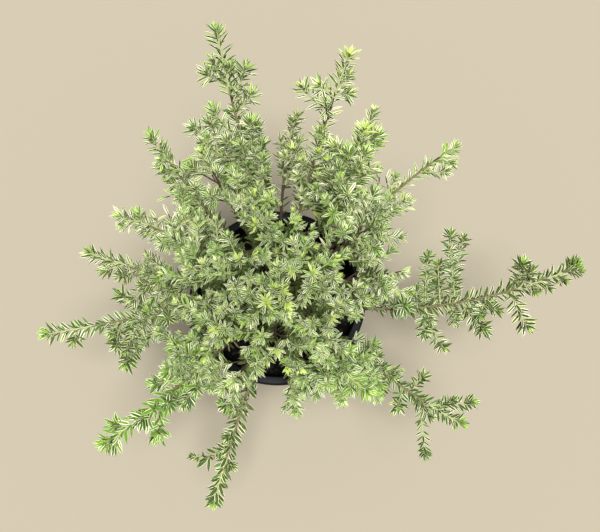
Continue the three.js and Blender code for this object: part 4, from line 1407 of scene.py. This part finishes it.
def rings_on(limb, rng):
    """Distances back from the tip at which rings of leaves stand, and the limb's length."""
    length = length_of(limb["tip"]) + length_of(limb["run"])
    steps = limb["step"] * rng.uniform(*STEP_RANGE, int(length / limb["step"]) + 2)
    rosette = [] if "kept" in limb else TIP_RINGS
    first = 0 if "kept" in limb else TIP_RINGS[-1]
    rings = np.concatenate([rosette, first + np.cumsum(steps)])
    return rings[rings < length - limb["bare"]], length


def leaves_on(limb, rng):
    """A table of the leaves that stand on one limb."""
    dead = "kept" in limb
    young = limb["young"] * (1 if rng.random() < limb["flush"] else NOT_IN_FLUSH)
    cream = rng.uniform(*limb["rim"])
    rings, length = rings_on(limb, rng)
    from_tip = np.repeat(rings, RING_LEAVES) + rng.normal(0, RING_SCATTER, len(rings) * RING_LEAVES)
    count = len(from_tip)
    ring = np.repeat(np.arange(len(rings)), RING_LEAVES)
    quarter = np.tile(np.arange(RING_LEAVES), len(rings))
    spot, along, across, other = spots_on(limb, from_tip)
    roll = 90 * quarter + RING_TURN * (ring % 2) + rng.uniform(0, 90) + rng.normal(0, ROLL_SCATTER, count)
    out = outwards(across, other, roll)
    opening = smooth((from_tip + 0.5) / limb["opens"])
    angle = np.radians(lerp(TIP_ANGLE, limb["angle"], opening) + rng.normal(0, ANGLE_SCATTER, count))[:, None]
    direction = along * np.cos(angle) + out * np.sin(angle)
    level = 1 - np.abs(along[:, 2:])
    facing = lerp(np.cross(direction, np.cross(along, out)), UP, LEAF_FACES_UP + LEVEL_FACES_UP * level)
    facing = facing + rng.normal(0, FACE_SCATTER, (count, 3))
    grown = lerp(TIP_SIZE, 1, smooth((from_tip + 2) / (limb["opens"] - 1)))
    grown = grown * lerp(limb["base"], 1, smooth((length - from_tip) / ROOT_LEAVES_OVER))
    leaf_length = limb["size"] * grown * rng.uniform(*LENGTH_RANGE, count)
    old, buried_shade, inside = shade_and_age_at(spot, from_tip)
    table = {
        "root": spot + out * limb["radii"][-1] * 0.7,
        "direction": direction,
        "across": unit(np.cross(facing, direction)),
        "length": leaf_length,
        "width": leaf_length * limb["width"] * rng.uniform(*WIDTH_RANGE, count) + WIDTH_AT_LEAST,
        "curl": rng.uniform(*limb.get("curl", CURL_RANGE), count),
        "fold": rng.uniform(*FOLD_RANGE, count),
        "rim": np.clip(cream + rng.normal(0, RIM_SCATTER, count), LEAST_RIM, MOST_RIM),
        "young": np.clip(1.15 - from_tip / young, 0, 1) * (1 - buried_shade),
        "spray": np.full(count, rng.random()),
        "bright": np.full(count, limb["bright"]),
        # Leaves on a bough all get the dull colours of age and painted shade.
        "old": np.where(dead, 1, old),
        "withered": np.where(dead, WITHERED_ON_BOUGHS, np.where(inside, WITHERED_INSIDE, 0)),
    }
    lost = missing_share(spot + direction * leaf_length[:, None] * 0.6) * (1 - KEPT_BURIED * buried_shade)
    kept = rng.random(count) >= (1 - limb["kept"] if dead else lost)
    return {key: column[kept] for key, column in table.items()}


one_limb = leaves_on(shoots[0]["limbs"][0], np.random.default_rng(0))
print("the first stem carries", len(one_limb["length"]), "leaves of about",
      one_limb["length"].mean().round(1), "mm")

# %% [markdown]
# The leaves' colours have a place too: the youngest ones at each tip are yellow-green, some
# with lemon edges. Old leaves inside the crown are dull, and that dull, dark colour is also
# painted shade of the crown's depths. A few have withered to a grey tan. Each shoot has its
# own cast, as its share of green and cream differs from its neighbours'. So every leaf is
# dealt one of a few centres and one of a few edges. A leaf's skin is waxy, which gives a
# soft shine at a roughness of about a half.

# %% Leaf finishes
LEAF_FINISHES = [
    plain_finish("leaf centre, olive green", "#475926", 0.5),
    plain_finish("leaf centre, deep green", "#3a5d1e", 0.5),
    plain_finish("leaf centre, grey-green", "#506e34", 0.55),
    plain_finish("leaf centre, fresh green", "#628b2a", 0.5),
    # The old centre, and the old edge below, are dark as age and as painted shade.
    plain_finish("leaf centre, old, with painted shade", "#293916", 0.6),
    plain_finish("leaf centre, young lime", "#a4bc49", 0.5),
    plain_finish("leaf centre, young bright green", "#779e36", 0.5),
    plain_finish("leaf edge, cream", "#fcfad4", 0.55),
    plain_finish("leaf edge, ivory green", "#dfe6a1", 0.55),
    plain_finish("leaf edge, old, with painted shade", "#6f7b42", 0.6),
    plain_finish("leaf edge, young lemon", "#edf2a8", 0.5),
    # The underside's felt is darkened from white to this olive as painted shade.
    plain_finish("leaf underside, felt darkened as painted shade", "#818e56", 0.9),
    plain_finish("leaf, withered grey", "#71654d", 0.9),
    plain_finish("leaf, withered brown", "#53422f", 0.9),
]
# The first four are the centres that a cast shares out, and the rest are dealt by name.
OLD_SHADE, LIME, BRIGHT, CREAM, IVORY, OLD_SHADE_EDGE, LEMON, SHADED_FELT, WITHERED, BROWN = range(4, len(LEAF_FINISHES))
CASTS = {
    "olive": (0.6, 0.1, 0.3, 0),
    "grey": (0.15, 0.25, 0.5, 0.1),
    "fresh": (0, 0.15, 0.2, 0.65),
    "even": (0, 0.4, 0.3, 0.3),
}
SHOOT_CASTS = {
    "right_wand": "olive", "lower_right": "olive", "front_wand": "olive",
    "far_left": "olive", "left": "olive", "back_pair": "olive",
    "back_left_leader": "grey", "back_right_leader": "grey",
    "front_left": "fresh", "upper_right": "fresh", "front_right": "fresh",
}
SPRAY_ALIKE = 0.65
CREAM_SHARE, IVORY_SHARE = 0.58, 0.42
LEMON_SHARE = 0.3


def deal_finishes(leaves, cast, rng):
    """The finish of every triangle of every leaf: (leaves, triangles)."""
    count = len(leaves["length"])
    drawn = np.where(rng.random(count) < SPRAY_ALIKE, leaves["spray"], rng.random(count))
    centre = np.searchsorted(np.cumsum(CASTS[cast]), drawn)
    edge = rng.choice([CREAM, IVORY], count, p=[CREAM_SHARE, IVORY_SHARE])
    is_old_or_shaded = rng.random(count) < leaves["old"]
    centre = np.where(is_old_or_shaded, OLD_SHADE, centre)
    edge = np.where(is_old_or_shaded, OLD_SHADE_EDGE, edge)
    is_young = rng.random(count) < leaves["young"]
    centre = np.where(is_young, np.where(leaves["bright"] > 0.5, BRIGHT, LIME), centre)
    edge = np.where(is_young & (rng.random(count) < LEMON_SHARE), LEMON, edge)
    table = np.stack([centre, edge, np.full(count, SHADED_FELT)], 1)
    withered = rng.random(count) < leaves["withered"]
    table[withered] = rng.choice([WITHERED, BROWN], count)[withered, None]
    return table[:, LEAF_PARTS]


print("leaf colours:", len(LEAF_FINISHES), "in", len(CASTS), "casts")

# %% Grow and dress every mass
def shoot_leaves(shoot, rng):
    """A table of all the leaves of a shoot."""
    tables = [leaves_on(limb, rng) for limb in [*shoot["limbs"], dead_limb(shoot["bough"])]]
    return {key: np.concatenate([table[key] for table in tables]) for key in tables[0]}


rng = np.random.default_rng(2)
leaf_total = 0
for shoot in shoots:
    leaves = shoot_leaves(shoot, rng)
    points = leaf_points(leaves)
    finishes = deal_finishes(leaves, SHOOT_CASTS.get(shoot["name"], "even"), rng)
    offsets = np.arange(len(points))[:, None, None] * LEAF_POINTS
    slot = "sunlit_foliage" if shoot["name"].startswith("crown") else "foliage"
    bundle = Bundle()
    bundle.add(points, LEAF_FACES + offsets, finishes.ravel())
    bundle.piece("leaves_" + shoot["name"], LEAF_FINISHES, slot, ["mass_" + shoot["name"]])
    leaf_total += len(points)
print("leaves:", leaf_total, "with", leaf_total * len(LEAF_FACES), "triangles")

# %% [markdown]
# ## Floor and light
#
# The plant stands on a plain pale floor, outdoors in soft daylight. A bright patch of sky
# overhead, 22 degrees wide, gives the shadows their soft edges, and a pale surround fills
# the shade. A sun lamp makes that patch, since its light is even over plant and floor. It
# is tilted a little off the camera's line of sight, so the shade inside the crown shows.

# %% Set the studio
FLOOR_SIDE = 12000
FLOOR_DROP = 0.2


def floor_plane():
    """A wide floor that lies just under the pot."""
    half = FLOOR_SIDE / 2
    corners = [(x, y, -FLOOR_DROP) for x, y in ((-half, -half), (half, -half), (half, half), (-half, half))]
    mesh = bpy.data.meshes.new("floor")
    mesh.from_pydata([np.array(corner) * MM for corner in corners], [], [(0, 1, 2, 3)])
    mesh.materials.append(plain_finish("pale matt floor", "#99917f", 0.9))
    floor = bpy.data.objects.new("floor", mesh)
    bpy.context.scene.collection.objects.link(floor)


def soft_daylight(spread, tilt, strength):
    """Light from a wide round patch of sky, which falls on plant and floor alike."""
    lamp = bpy.data.lights.new("bright sky overhead", "SUN")
    lamp.angle, lamp.energy = math.radians(spread), strength
    sky = bpy.data.objects.new("bright sky overhead", lamp)
    sky.location = (0, 0, 2)
    sky.rotation_euler = [math.radians(angle) for angle in tilt]
    bpy.context.scene.collection.objects.link(sky)


def pale_surround(hex_colour, strength):
    """Even light of one colour from every side."""
    world = bpy.data.worlds.new("pale surround")
    world.use_nodes = True
    world.node_tree.nodes.clear()
    light = add_node(world.node_tree, "ShaderNodeBackground", {
        "Color": linear(hex_colour), "Strength": strength})
    add_node(world.node_tree, "ShaderNodeOutputWorld", {"Surface": light.outputs["Background"]})
    bpy.context.scene.world = world


floor_plane()
soft_daylight(spread=22, tilt=(9, 2, 0), strength=5.3)
pale_surround("#f8f8f4", strength=0.52)
bpy.context.scene.view_settings.view_transform = "Standard"
print("studio:", len(bpy.data.lights), "lamp, floor", FLOOR_SIDE / 1000, "m wide")
